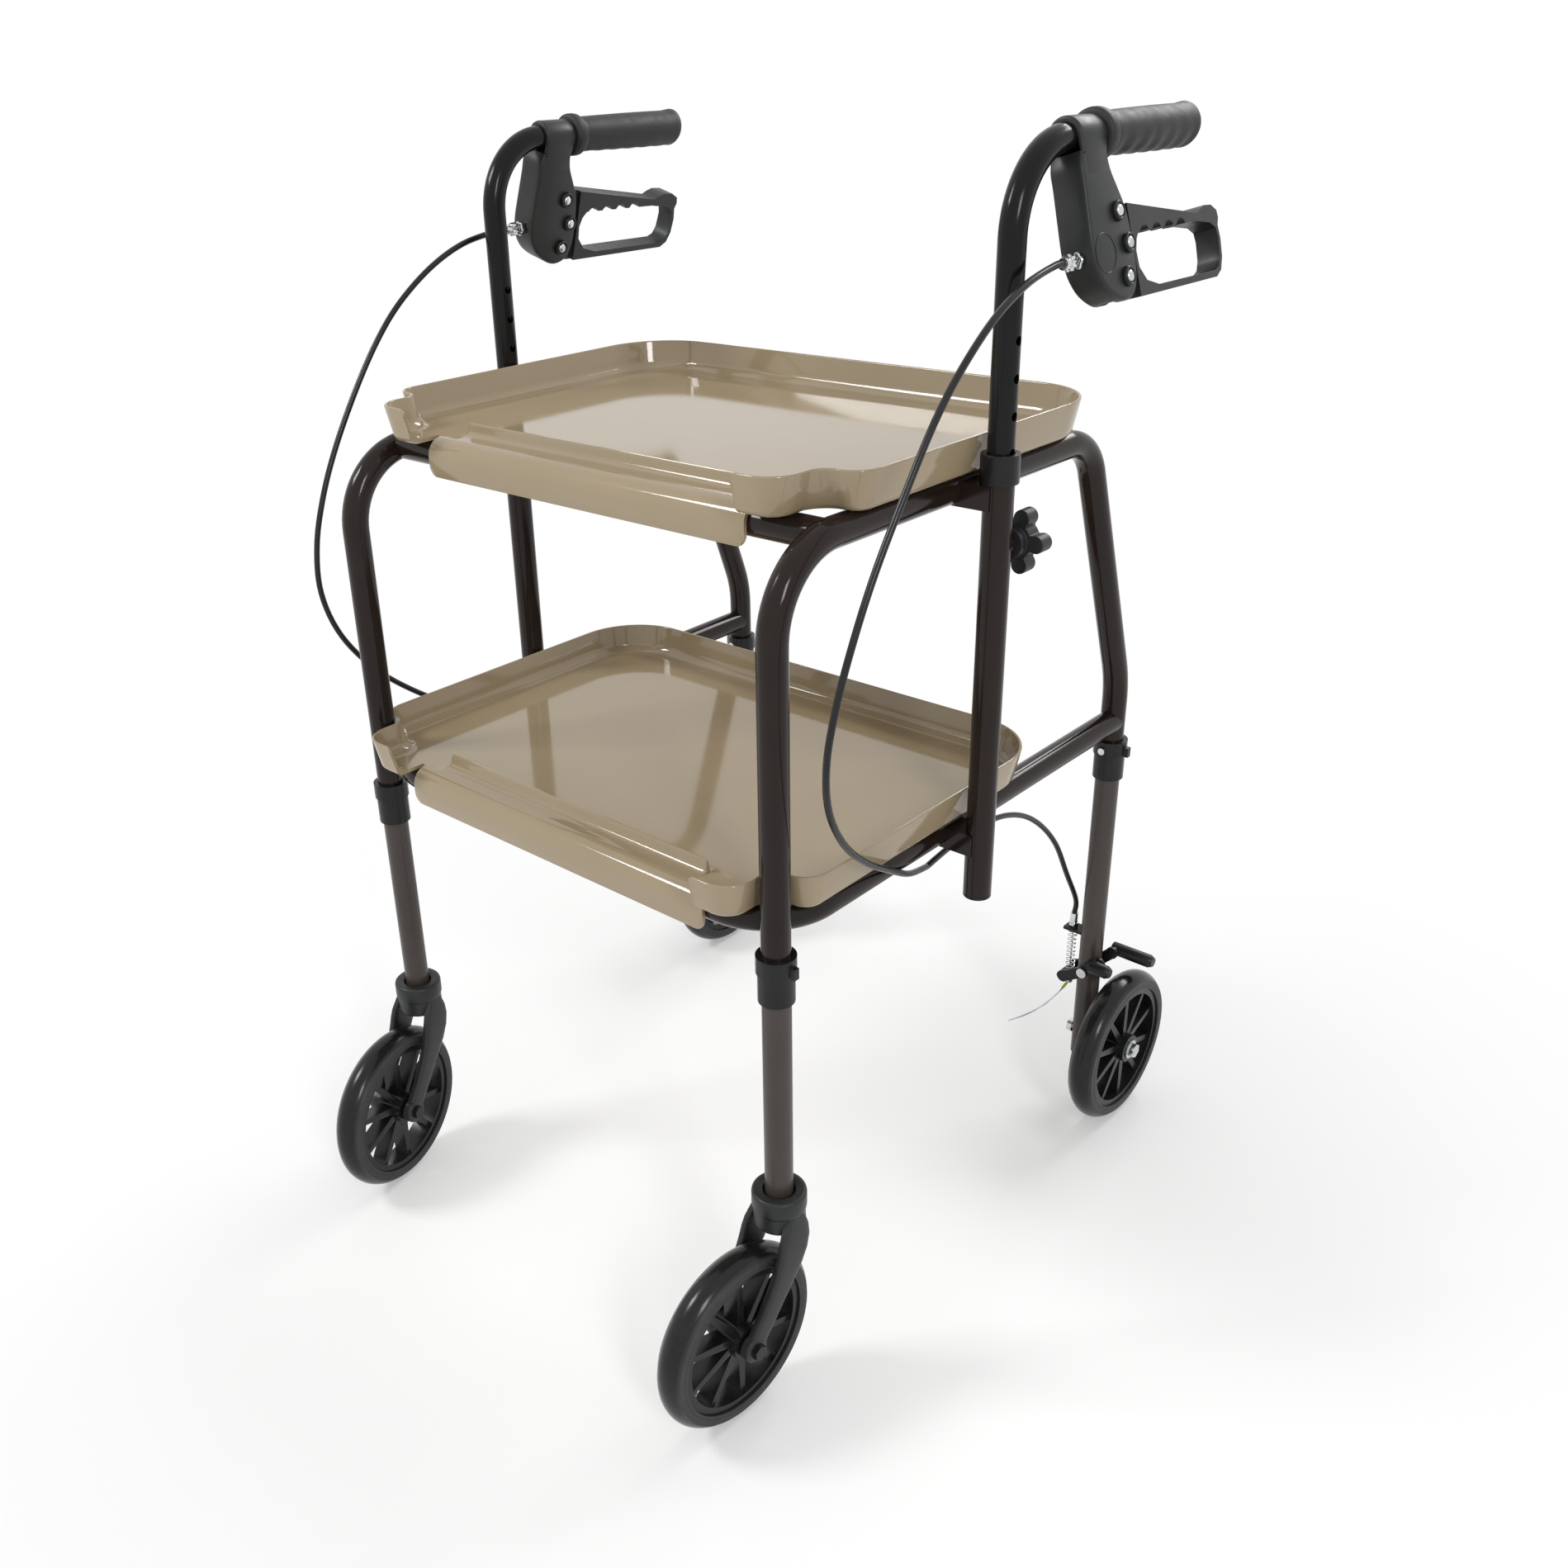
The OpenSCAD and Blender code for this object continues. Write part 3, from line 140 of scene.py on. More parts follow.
def noise(tree, where, scale, detail, rough=0.5):
    node = tree.nodes.new("ShaderNodeTexNoise")
    node.inputs["Scale"].default_value = scale
    node.inputs["Detail"].default_value = detail
    node.inputs["Roughness"].default_value = rough
    tree.links.new(where.outputs["Object"], node.inputs["Vector"])
    return node.outputs["Fac"]


def ramp(tree, source, low, high):
    """A colour between two others."""
    node = tree.nodes.new("ShaderNodeValToRGB")
    for element, position, colour in zip(node.color_ramp.elements, RAMP_SHARES, (low, high)):
        element.position = position
        element.color = (*colour, 1)
    tree.links.new(source, node.inputs["Fac"])
    return node.outputs["Color"]


def spread(tree, source, low, high, start=0.0, end=1.0):
    """A number between two others, as the source goes from start to end."""
    node = tree.nodes.new("ShaderNodeMapRange")
    node.inputs["From Min"].default_value = start
    node.inputs["From Max"].default_value = end
    node.inputs["To Min"].default_value = low
    node.inputs["To Max"].default_value = high
    tree.links.new(source, node.inputs["Value"])
    return node


def combine(tree, operation, *sources):
    node = tree.nodes.new("ShaderNodeMath")
    node.operation = operation
    for socket, source in zip(node.inputs, sources):
        tree.links.new(source, socket)
    return node.outputs["Value"]


def bump(tree, bsdf, source, strength, distance):
    node = tree.nodes.new("ShaderNodeBump")
    node.inputs["Strength"].default_value = strength
    node.inputs["Distance"].default_value = distance
    tree.links.new(source, node.inputs["Height"])
    tree.links.new(node.outputs["Normal"], bsdf.inputs["Normal"])


def surface(name, dark, light, rough, patch, grain, grain_bump, grain_depth, metallic=0.0, coat=0.0,
            coat_rough=0.1, specular=0.5):
    """Colour that drifts in patches, uneven gloss and a fine grain."""
    material, tree, bsdf, where = shader(name)
    drift = noise(tree, where, patch, detail=4.0, rough=0.6)
    tree.links.new(ramp(tree, drift, dark, light), bsdf.inputs["Base Color"])
    wear = noise(tree, where, patch * WEAR_SCALE, detail=5.0, rough=0.65)
    gloss = spread(tree, wear, *rough, *GLOSS_SHARES)
    tree.links.new(gloss.outputs["Result"], bsdf.inputs["Roughness"])
    bump(tree, bsdf, noise(tree, where, grain, detail=2.0), grain_bump, grain_depth)
    bsdf.inputs["Metallic"].default_value = metallic
    bsdf.inputs["Coat Weight"].default_value = coat
    bsdf.inputs["Coat Roughness"].default_value = coat_rough
    bsdf.inputs["Specular IOR Level"].default_value = specular
    return material


# Materials, with the tyre's flanks and all grain depths in metres
BROWN = surface("brown_enamel", (0.0125, 0.0075, 0.006), (0.018, 0.011, 0.0088), (0.1, 0.16),
                patch=9.0, grain=2600.0, grain_bump=0.04, grain_depth=0.00006, specular=0.23)
LEG = surface("grey_brown_enamel", (0.044, 0.035, 0.030), (0.054, 0.044, 0.038), (0.26, 0.34),
              patch=9.0, grain=2600.0, grain_bump=0.05, grain_depth=0.00008, specular=0.35)
HANDLE = surface("black_enamel", (0.004, 0.0042, 0.0042), (0.007, 0.007, 0.007), (0.14, 0.2),
                 patch=9.0, grain=2600.0, grain_bump=0.05, grain_depth=0.00008, specular=0.19)
MOULDED = surface("moulded_black", (0.014, 0.015, 0.016), (0.021, 0.022, 0.023), (0.36, 0.48),
                  patch=22.0, grain=1500.0, grain_bump=0.3, grain_depth=0.00012, specular=0.34)
SATIN = surface("satin_black", (0.006, 0.0064, 0.0068), (0.010, 0.0105, 0.011), (0.24, 0.34),
                patch=22.0, grain=1500.0, grain_bump=0.15, grain_depth=0.0001, specular=0.28)
RUBBER = surface("grip_rubber", (0.013, 0.0135, 0.0135), (0.020, 0.0205, 0.0205), (0.46, 0.6),
                 patch=30.0, grain=1100.0, grain_bump=0.45, grain_depth=0.0002, specular=0.35)
STEEL = surface("zinc_steel", (0.50, 0.51, 0.52), (0.72, 0.73, 0.74), (0.14, 0.3),
                patch=60.0, grain=1800.0, grain_bump=0.1, grain_depth=0.0001, metallic=1.0)
CABLE = surface("cable_sheath", (0.005, 0.005, 0.005), (0.009, 0.009, 0.009), (0.24, 0.34),
                patch=20.0, grain=900.0, grain_bump=0.05, grain_depth=0.0001, specular=0.35)
YELLOW = surface("yellow_ferrule", (0.42, 0.46, 0.02), (0.52, 0.55, 0.05), (0.35, 0.45),
                 patch=60.0, grain=900.0, grain_bump=0.05, grain_depth=0.0001)
TRAY = surface("tan_tray", (0.298, 0.232, 0.144), (0.320, 0.252, 0.159), (0.06, 0.10),
               patch=5.0, grain=1400.0, grain_bump=0.03, grain_depth=0.0001, coat=0.08, coat_rough=0.05)
FLANK_FROM, FLANK_TO = 0.0098, 0.0116
TREAD_COLOURS = (0.005, 0.0054, 0.0058), (0.010, 0.0104, 0.0108)
FLANK_COLOURS = (0.022, 0.022, 0.0235), (0.032, 0.032, 0.034)
TREAD_ROUGH, FLANK_ROUGH = 0.2, 0.46


def tyre_material():
    """Dark tread, greyer flanks: the ring's own X runs along the axle."""
    material, tree, bsdf, where = shader("tyre_rubber")
    split = tree.nodes.new("ShaderNodeSeparateXYZ")
    tree.links.new(where.outputs["Object"], split.inputs["Vector"])
    aside = combine(tree, "ABSOLUTE", split.outputs["X"])
    mask = spread(tree, aside, 0.0, 1.0, FLANK_FROM, FLANK_TO).outputs["Result"]
    dust = noise(tree, where, 60.0, detail=6.0, rough=0.7)
    mix = tree.nodes.new("ShaderNodeMix")
    mix.data_type = "RGBA"
    tree.links.new(mask, mix.inputs["Factor"])
    tree.links.new(ramp(tree, dust, *TREAD_COLOURS), mix.inputs["A"])
    tree.links.new(ramp(tree, dust, *FLANK_COLOURS), mix.inputs["B"])
    tree.links.new(mix.outputs["Result"], bsdf.inputs["Base Color"])
    gloss = spread(tree, mask, TREAD_ROUGH, FLANK_ROUGH)
    tree.links.new(gloss.outputs["Result"], bsdf.inputs["Roughness"])
    bump(tree, bsdf, noise(tree, where, 1300.0, detail=2.0), strength=0.15, distance=0.0002)
    bsdf.inputs["Specular IOR Level"].default_value = 0.3
    return material


TYRE = tyre_material()


# Curves
def arc(cx, cy, r, first, last, steps):
    """Points of an arc between two angles in degrees."""
    angles = [math.radians(first + (last - first) * k / steps) for k in range(steps + 1)]
    return [(cx + r * math.cos(a), cy + r * math.sin(a)) for a in angles]


def turns(count):
    return [2 * math.pi * k / count for k in range(count)]


def round_off(along, length):
    """Drop of a rounded corner of that radius at a distance from its end."""
    share = min(1.0, max(0.0, along / length))
    return length * (1 - math.sqrt(1 - (1 - share) ** 2))


def catmull(points, steps):
    """A smooth curve through the points."""
    p = [Vector(q) for q in points]
    out = []
    for i in range(len(p) - 1):
        a, b, c, d = p[max(i - 1, 0)], p[i], p[i + 1], p[min(i + 2, len(p) - 1)]
        for k in range(steps):
            t = k / steps
            square = (2 * a - 5 * b + 4 * c - d) * t ** 2
            cube = (3 * b - a - 3 * c + d) * t ** 3
            out.append((2 * b + (c - a) * t + square + cube) / 2)
    return out + [p[-1]]


def tube_rings(path, radius, sides=12, start_dir=None, end_dir=None):
    """Rings of a round tube along a path, with ends square to a direction if one is given."""
    rings, up, last = [], None, len(path) - 1
    for i, p in enumerate(path):
        d = (path[min(i + 1, last)] - path[max(i - 1, 0)]).normalized()
        if i == 0 and start_dir:
            d = Vector(start_dir).normalized()
        if i == last and end_dir:
            d = Vector(end_dir).normalized()
        if up is None:
            up = d.orthogonal().normalized()
        up = (up - up.dot(d) * d).normalized()
        side = d.cross(up)
        rings.append([p + radius * (math.cos(a) * up + math.sin(a) * side) for a in turns(sides)])
    return rings


# Pieces
SMOOTH_ANGLE, SHARP_ANGLE = 38, 40
SAME_POINT_M, FLAT_ANGLE = 1e-6, 0.6


class Shape:
    """The points and faces of a piece that is being drawn."""

    def __init__(self):
        self.points = []
        self.faces = []

    def strip(self, rings, closed=True, looped=False, capped=False):
        """Joins rings of equal length.

        closed joins the ends of each ring, looped joins the last ring to the first, and capped
        fills the first and the last ring.
        """
        start, count, n = len(self.points), len(rings), len(rings[0])
        for ring in rings:
            self.points.extend(ring)
        for i in range(count if looped else count - 1):
            a, b = start + i * n, start + (i + 1) % count * n
            for k in range(n if closed else n - 1):
                m = (k + 1) % n
                self.faces.append((a + k, a + m, b + m, b + k))
        if capped:
            for a in (start, start + (count - 1) * n):
                self.faces.append(tuple(range(a, a + n)))

    def turn(self, profile, count, place, closed=True, radius=lambda angle, r: r):
        """Revolves (radius, along) pairs; place gives each point, radius may change with the angle."""
        rings = []
        for angle in turns(count):
            c, s = math.cos(angle), math.sin(angle)
            ring = [(radius(angle, r), along) for r, along in profile]
            rings.append([place(r * c, r * s, along) for r, along in ring])
        self.strip(rings, closed, looped=True)


def smooth(mesh, angle):
    mesh.shade_smooth()
    mesh.set_sharp_from_angle(angle=math.radians(angle))


def new_object(name, shape, angle=SMOOTH_ANGLE):
    """An object of a shape, in metres, smooth up to an edge angle in degrees."""
    mesh = bpy.data.meshes.new(name)
    mesh.from_pydata([tuple(mm(p)) for p in shape.points], [], shape.faces)
    bm = bmesh.new()
    bm.from_mesh(mesh)
    bmesh.ops.recalc_face_normals(bm, faces=bm.faces)
    bm.to_mesh(mesh)
    bm.free()
    smooth(mesh, angle)
    ob = bpy.data.objects.new(name, mesh)
    link(ob)
    return ob


def dress(ob, material, node=None, body=None):
    """Gives a piece its material and body; it takes the place of its CAD node, if it has one."""
    ob.data.materials.clear()
    ob.data.materials.append(material)
    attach(ob, body or NODES[node]["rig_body"])
    if node:
        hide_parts(node)


def rounded(node, material, width, segments):
    """A copy of a CAD node with its sharp edges rounded, as moulded and cast pieces have them."""
    mesh = NODES[node].data.copy()
    bm = bmesh.new()
    bm.from_mesh(mesh)
    bmesh.ops.remove_doubles(bm, verts=bm.verts, dist=SAME_POINT_M)
    bmesh.ops.dissolve_limit(bm, angle_limit=math.radians(FLAT_ANGLE), verts=bm.verts, edges=bm.edges)
    bm.to_mesh(mesh)
    bm.free()
    smooth(mesh, SHARP_ANGLE)
    ob = bpy.data.objects.new(node + "_moulded", mesh)
    link(ob)
    dress(ob, material, node)
    edge = ob.modifiers.new("edges", "BEVEL")
    edge.width = width / 1000
    edge.segments = segments
    edge.limit_method = "ANGLE"
    edge.angle_limit = math.radians(SHARP_ANGLE)
    edge.harden_normals = True


# Brake cables
CABLE_D, CABLE_GAP = 5.0, 0.15
CABLE_END_Z, CABLE_RUN = 206.15, 15.0
CABLE_OUT = 10.0
CABLE_MEET = (228, -32, 393)
UPPER_ROUTE = [(283, -25, 833), (284, -62, 817), (285, -98, 792), (285, -126, 764), (285, -154, 727),
               (284, -182, 684), (283, -202, 645), (281, -216, 606), (277, -221, 566), (271, -211, 526),
               (264, -185, 488), (257, -150, 457), (249, -112, 432), (239, -72, 408)]
LOWER_ROUTE = [(221, 20, 391), (215, 84, 384), (212, 132, 368), (209, 174, 341), (206, 212, 304),
               (204, 241, 260)]


def cable_routes():
    """Both runs on the right side, and the direction in which they meet."""
    drop = HOUSING_DROP * ADJUSTER_SHARE
    start = Vector((SOCKET_X + drop * math.sin(HANDLE_LEAN),
                    SOCKET_Y + HOUSING_BACK - ADJUSTER_REACH - CABLE_GAP,
                    GRIP_Z - drop * math.cos(HANDLE_LEAN)))
    end = Vector((BRAKE_X, REAR_Y, CABLE_END_Z))
    onward = (Vector(LOWER_ROUTE[0]) - Vector(UPPER_ROUTE[-1])).normalized()
    upper = [start, start - Vector((0, CABLE_OUT, 0)), *UPPER_ROUTE, CABLE_MEET]
    lower = [Vector(CABLE_MEET) + CABLE_GAP * onward, *LOWER_ROUTE, end + Vector((0, 0, CABLE_RUN)), end]
    return upper, lower, onward


def make_cables():
    upper, lower, onward = cable_routes()
    for side, name in SIDES:
        heading = (side * onward[0], onward[1], onward[2])
        for part, route, ends in (("upper", upper, ((0, -1, 0), heading)),
                                  ("lower", lower, (heading, (0, 0, -1)))):
            line = [Vector((side * p[0], p[1], p[2])) for p in catmull(route, 6)]
            path = [mm(p) for p in line]
            shape = Shape()
            shape.strip(tube_rings(line, CABLE_D / 2, 12, *ends), capped=True)
            node = f"cable_{part}_{name}"
            ob = new_object(node + "_sheath", shape, angle=60)
            if part == "upper":
                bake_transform(ob)
            ob.data.materials.append(CABLE)
            if part == "lower":
                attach(ob, "frame")
            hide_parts(node)


make_cables()


# Trays: half widths in X, with Y from the front edge and Z from under the floor
TRAY_W, TRAY_LEN, TRAY_LEAD = 241.0, 354.0, 28.0
HOOK_W, CUT_W, LIP_W = 168.0, 172.0, 149.0
LOBE_R, NOTCH_R, SHOULDER_R, CORNER_R = 20.0, 17.0, 16.0, 58.0
LEAST_R = 0.5
FLOOR_Z, FLOOR_T, FLOOR_IN = 11.3, 3.0, 13.4
RIM_H, RIM_T, RIM_LEAN, RIM_SEAT = 29.0, 2.4, 11.5, 2.96
FOOT_R, HOLLOW_R = 6.0, 11.0
# Rounded ends of the lobes' upper edge, with the points that shape them
CUT_ROUND, CUT_SHARES = 5.0, (0, 0.06, 0.2, 0.4, 0.68, 1)
CUT_DEPTH, CUT_FROM_Z = 6.0, 12.0
# Points that keep the straight stretches flat in the shading
LOBE_REST_X, BACK_REST_X, SIDE_REST_Y = 181.0, 110.0, (120.0, 200.0)
# The hook over the cross tube: Y and Z from the tube's centre
HOOK_OUT_R, HOOK_IN_R, SKIRT_Z = 14.3, 11.35, -15.9
SKIRT_ROUND, LIP_ROUND = 8.0, 3.0
END_SHARES = (0, 0.0125, 0.0625, 0.15, 0.29, 0.475, 0.725, 1)
TIP_H, TIP_BELOW_Z = 1.1, -0.5
SKIRT_TIP = [(-13.9, 0.3), (-12.8, 0.0), (-11.7, 0.3)]
HOOK_LIP = [(24, 11.4), (24, 14.25), (18.4, 14.4), (16.9, 14.9), (16.3, 16.6), (16.0, 22.5), (15.7, 24.2),
            (15.0, 25.1), (14.2, 25.1), (13.6, 24.2), (13.2, 22.0), (12.5, 18.6), (11.2, 16.4), (9.0, 15.1),
            (5.5, 14.45)]
LIP_CLEAR = 0.03
LIP_FOOT_Z = FLOOR_Z + FLOOR_T + LIP_CLEAR


def tray_outline(inset):
    """Right half from the lobe's cut end to the middle of the back, then mirrored to the left lobe."""
    shoulder_y = TRAY_LEAD + NOTCH_R + SHOULDER_R
    half = [(CUT_W + CUT_ROUND * share, inset) for share in CUT_SHARES] + [(LOBE_REST_X, inset)]
    half += arc(SIDE_X - NOTCH_R - LOBE_R, LOBE_R, LOBE_R - inset, -90, 0, 12)
    half += arc(SIDE_X, TRAY_LEAD, NOTCH_R + inset, 180, 90, 14)
    half += arc(TRAY_W - SHOULDER_R, shoulder_y, max(SHOULDER_R - inset, LEAST_R), -90, 0, 12)
    half += [(TRAY_W - inset, y) for y in SIDE_REST_Y]
    half += arc(TRAY_W - CORNER_R, TRAY_LEN - CORNER_R, CORNER_R - inset, 0, 90, 24)
    half += [(BACK_REST_X, TRAY_LEN - inset)]
    return half + [(0, TRAY_LEN - inset)] + [(-x, y) for x, y in reversed(half)]


def rim_profile():
    """Insets and heights of the rim: from under the floor, up, over the edge and down to the floor."""
    out, up = math.cos(math.radians(RIM_LEAN)), math.sin(math.radians(RIM_LEAN))

    def centre(z, offset):
        return (RIM_SEAT + offset - up * z) / out, z

    foot = arc(*centre(FOOT_R, FOOT_R - RIM_T / 2), FOOT_R, 270, 180 + RIM_LEAN, 7)
    edge = arc(*centre(RIM_H - RIM_T / 2, 0.0), RIM_T / 2, 180 + RIM_LEAN, RIM_LEAN, 8)
    hollow = arc(*centre(FLOOR_T + HOLLOW_R, HOLLOW_R + RIM_T / 2), HOLLOW_R, 180 + RIM_LEAN, 270, 12)
    return [(FLOOR_IN, 0.0)] + foot + edge + hollow + [(FLOOR_IN, FLOOR_T)]


def rim_ring(inset, z):
    """One line of the rim; its upper edge is rounded off at the cut ends of the lobes."""
    share = max(0.0, min(1.0, (z - CUT_FROM_Z) / (RIM_H - CUT_FROM_Z)))
    ring = []
    for x, y in tray_outline(inset):
        drop = round_off(abs(x) - CUT_W, CUT_ROUND) if y < CUT_DEPTH else 0.0
        ring.append((x, y, z - drop * share))
    return ring


def add_tray_body(shape):
    """Rim and flat floor as one closed shell."""
    rings = [rim_ring(inset, z) for inset, z in rim_profile()]
    count, n = len(rings), len(rings[0])
    shape.strip(rings, closed=False)
    last = (count - 1) * n
    for k in (0, n - 1):
        shape.faces.append(tuple(i * n + k for i in range(count)))
    corner = len(shape.points)
    for z in (0.0, FLOOR_T):
        shape.points.extend([(-CUT_W, TRAY_LEAD, z), (CUT_W, TRAY_LEAD, z)])
    shape.faces.append((*range(n), corner, corner + 1))
    shape.faces.append((*range(last, last + n), corner + 2, corner + 3))
    shape.faces.append((0, corner + 1, corner + 3, last))
    shape.faces.append((n - 1, corner, corner + 2, last + n - 1))
    shape.faces.append((corner, corner + 1, corner + 3, corner + 2))


def hook_section():
    """Over the tube, round the skirt's tip, back inside it and along the lip."""
    tip = [(-HOOK_OUT_R, TIP_H), *SKIRT_TIP, (-HOOK_IN_R, TIP_H)]
    over = arc(0, 0, HOOK_OUT_R, 90, 180, 14) + [(y, SKIRT_Z + z) for y, z in tip]
    return over + arc(0, 0, HOOK_IN_R, 180, 90, 14) + HOOK_LIP


def add_hook(shape):
    """The hook along the cross tube, with rounded skirt corners and a short lip."""
    section = hook_section()
    half = [HOOK_W - SKIRT_ROUND * share for share in END_SHARES]
    half += [LIP_W - LIP_ROUND * share for share in END_SHARES]
    rings = []
    for x in [-h for h in half] + half[::-1]:
        rise = 1 - round_off(LIP_W - abs(x), LIP_ROUND) / LIP_ROUND if abs(x) <= LIP_W else 0.0
        foot = SKIRT_Z + round_off(HOOK_W - abs(x), SKIRT_ROUND)
        ring = []
        for y, z in section:
            if z > LIP_FOOT_Z:
                z = LIP_FOOT_Z + (z - LIP_FOOT_Z) * rise
            if z < foot + TIP_H and z < TIP_BELOW_Z:
                z = foot + min(TIP_H, max(0.0, z - SKIRT_Z))
            ring.append((x, y + TRAY_LEAD, z - FLOOR_Z))
        rings.append(ring)
    shape.strip(rings, capped=True)


def make_tray(node, cross_y, rail_z):
    shape = Shape()
    add_tray_body(shape)
    add_hook(shape)
    shape.points = [(x, y + cross_y - TRAY_LEAD, z + FLOOR_Z + rail_z) for x, y, z in shape.points]
    dress(new_object(node + "_moulding", shape, angle=42), TRAY, node)


make_tray("upper_tray", FRONT_Y + UPPER_CROSS_IN, UPPER_RAIL_Z)
make_tray("lower_tray", FRONT_Y, LOWER_RAIL_Z)


# Wheels: the rims' rounded edge, and the tyre's (radius, along) pairs
WHEEL_EDGE = 0.9
CROWN_SEAT_R, CROWN_R, CROWN_ANGLE, CROWN_STEPS = 63.0, 14.0, 56, 16
TYRE_FLANK = [(62.1, -12.3), (62.5, -12.5), (64.4, -12.5), (64.8, -12.2), (65.2, -12.5), (70.3, -12.42)]


def wheel_matrix(side, end):
    if end == "rear":
        return Matrix.Translation(mm((side * REAR_WHEEL_X, REAR_Y, WHEEL_R)))
    a = CASTER_TURN[side]
    at = (side * SIDE_X + CASTER_TRAIL * math.sin(a), FRONT_Y - CASTER_TRAIL * math.cos(a), WHEEL_R)
    return Matrix.Translation(mm(at)) @ Matrix.Rotation(a, 4, "Z")


def make_tyres():
    """Crowned tread, flat flanks with a fine bead line, and the seat on the rim."""
    crown = arc(CROWN_SEAT_R, 0, CROWN_R, -CROWN_ANGLE, CROWN_ANGLE, CROWN_STEPS)
    shape = Shape()
    shape.turn(TYRE_FLANK + crown + [(r, -x) for r, x in reversed(TYRE_FLANK)], 128,
               lambda u, v, x: (x, u, v))
    for side, name in SIDES:
        for end in ENDS:
            ob = new_object(f"{end}_tyre_{name}_ring", shape, angle=25)
            ob.matrix_world = wheel_matrix(side, end)
            dress(ob, TYRE, f"{end}_tyre_{name}")


make_tyres()
for _, name in SIDES:
    for end in ENDS:
        rounded(f"{end}_rim_{name}", SATIN, WHEEL_EDGE, 2)

# Grips: (along, radius) pairs behind the socket's axis
GRIP_FLANGE = [(90.9, 11.2), (90.9, 14.8), (91.4, 16.3), (92.6, 17.2), (94.4, 17.5), (98.0, 17.5),
               (100.2, 17.2), (101.6, 16.4), (102.2, 15.5), (102.8, 14.8), (104.4, 14.4), (107, 14.4)]
GRIP_END = [(225.4, 14.6), (227.2, 13.8), (228.3, 12.4), (228.7, 10.4), (228.9, 8.0), (228.9, 0.4)]
GRIP_SIDES = 72
SWELL_FROM, SWELL_TO, SWELL_STEPS = 108.0, 223.0, 56
SWELL_R, SWELL_H, SWELL_SHARE, SWELL_START_SHARE = 14.4, 0.9, 0.66, 0.02
DIMPLES_FROM, DIMPLES_TO, FIRST_DIMPLE, DIMPLE_PITCH, DIMPLE_DEPTH = 110.0, 222.0, 118.0, 19.0, 1.3
DIMPLE_ANGLE = {1: math.radians(-50), -1: math.radians(230)}
GRIP_END_FROM, GRIP_LIP_H, GRIP_LIP_RUN, GRIP_CORE_R = 212.0, 1.3, 13.0, 9.0
GRIP_TOP_R, GRIP_END_RUN, GRIP_SLANT_SHARE = 15.5, 17.0, 0.165


def grip_profile():
    """Ring flange, palm swell and rounded end."""
    swell = []
    for k in range(SWELL_STEPS + 1):
        share = k / SWELL_STEPS
        lift = math.sin(math.pi * min(1.0, share * SWELL_SHARE + SWELL_START_SHARE)) ** 0.8
        swell.append((SWELL_FROM + (SWELL_TO - SWELL_FROM) * share, SWELL_R + SWELL_H * lift))
    return GRIP_FLANGE + swell + GRIP_END


def grip_point(side, angle, y, r):
    """Adds finger dimples outside and below, a lifted lip on top and the slant of the end."""
    if DIMPLES_FROM < y < DIMPLES_TO:
        below = max(0.0, math.cos(angle - DIMPLE_ANGLE[side])) ** 3
        wave = 0.5 + 0.5 * math.cos(2 * math.pi * (y - FIRST_DIMPLE) / DIMPLE_PITCH)
        r -= DIMPLE_DEPTH * below * wave
    if y > GRIP_END_FROM:
        above = max(0.0, math.sin(angle)) ** 4
        r += GRIP_LIP_H * above * min(1.0, (y - GRIP_END_FROM) / GRIP_LIP_RUN) * min(1.0, r / GRIP_CORE_R)
        slant = GRIP_SLANT_SHARE * (GRIP_TOP_R - r * math.sin(angle))
        y -= slant * (y - GRIP_END_FROM) / GRIP_END_RUN
    return side * SOCKET_X + r * math.cos(angle), SOCKET_Y + y, GRIP_Z + r * math.sin(angle)


def make_grips():
    profile = grip_profile()
    n = len(profile)
    for side, name in SIDES:
        shape = Shape()
        shape.strip([[grip_point(side, a, y, r) for y, r in profile] for a in turns(GRIP_SIDES)],
                    closed=False, looped=True)
        shape.faces.append(tuple(k * n + n - 1 for k in range(GRIP_SIDES)))
        dress(new_object(f"grip_{name}_sleeve", shape, angle=50), RUBBER, f"grip_{name}")


make_grips()

# Caster forks: (radius, height) of the cup, (radius, along) of the axle's bosses
FORK_CUP = [(6.2, 158.4), (19.2, 158.4), (20.2, 159.2), (20.5, 161.0), (20.3, 172.0), (20.5, 173.2),
            (21.3, 174.4), (21.5, 176.0), (21.5, 186.0), (21.1, 187.8), (20.0, 188.8), (18.6, 189.0),
            (14.2, 189.0), (12.8, 188.5), (12.3, 187.4), (12.2, 181.1), (6.2, 181.1)]
FORK_BOSS = [(2.2, 15.7), (9.6, 15.7), (10.6, 16.2), (11.0, 17.2), (11.0, 23.0), (10.6, 24.0),
             (9.6, 24.45), (2.2, 24.45)]
ARM_SIDES = 24
# Y and Z of the arm's middle line, half its width, and its inner and outer X
FORK_ARM = [(-0.5, 175.0, 6.0, 11.0, 20.2), (-0.8, 169.0, 10.0, 12.5, 20.7),
            (-1.6, 162.0, 13.4, 14.5, 21.5), (-3.2, 154.5, 15.4, 15.7, 22.6),
            (-6.2, 145.5, 15.4, 15.8, 23.6), (-11.0, 135.0, 13.8, 15.8, 24.2),
            (-18.0, 123.5, 11.6, 15.8, 24.4), (-27.0, 110.5, 10.0, 15.8, 24.4),
            (-36.5, 97.5, 9.2, 15.8, 24.4), (-45.5, 86.0, 9.0, 15.8, 24.4), (-52.5, 77.0, 8.6, 15.9, 24.3)]


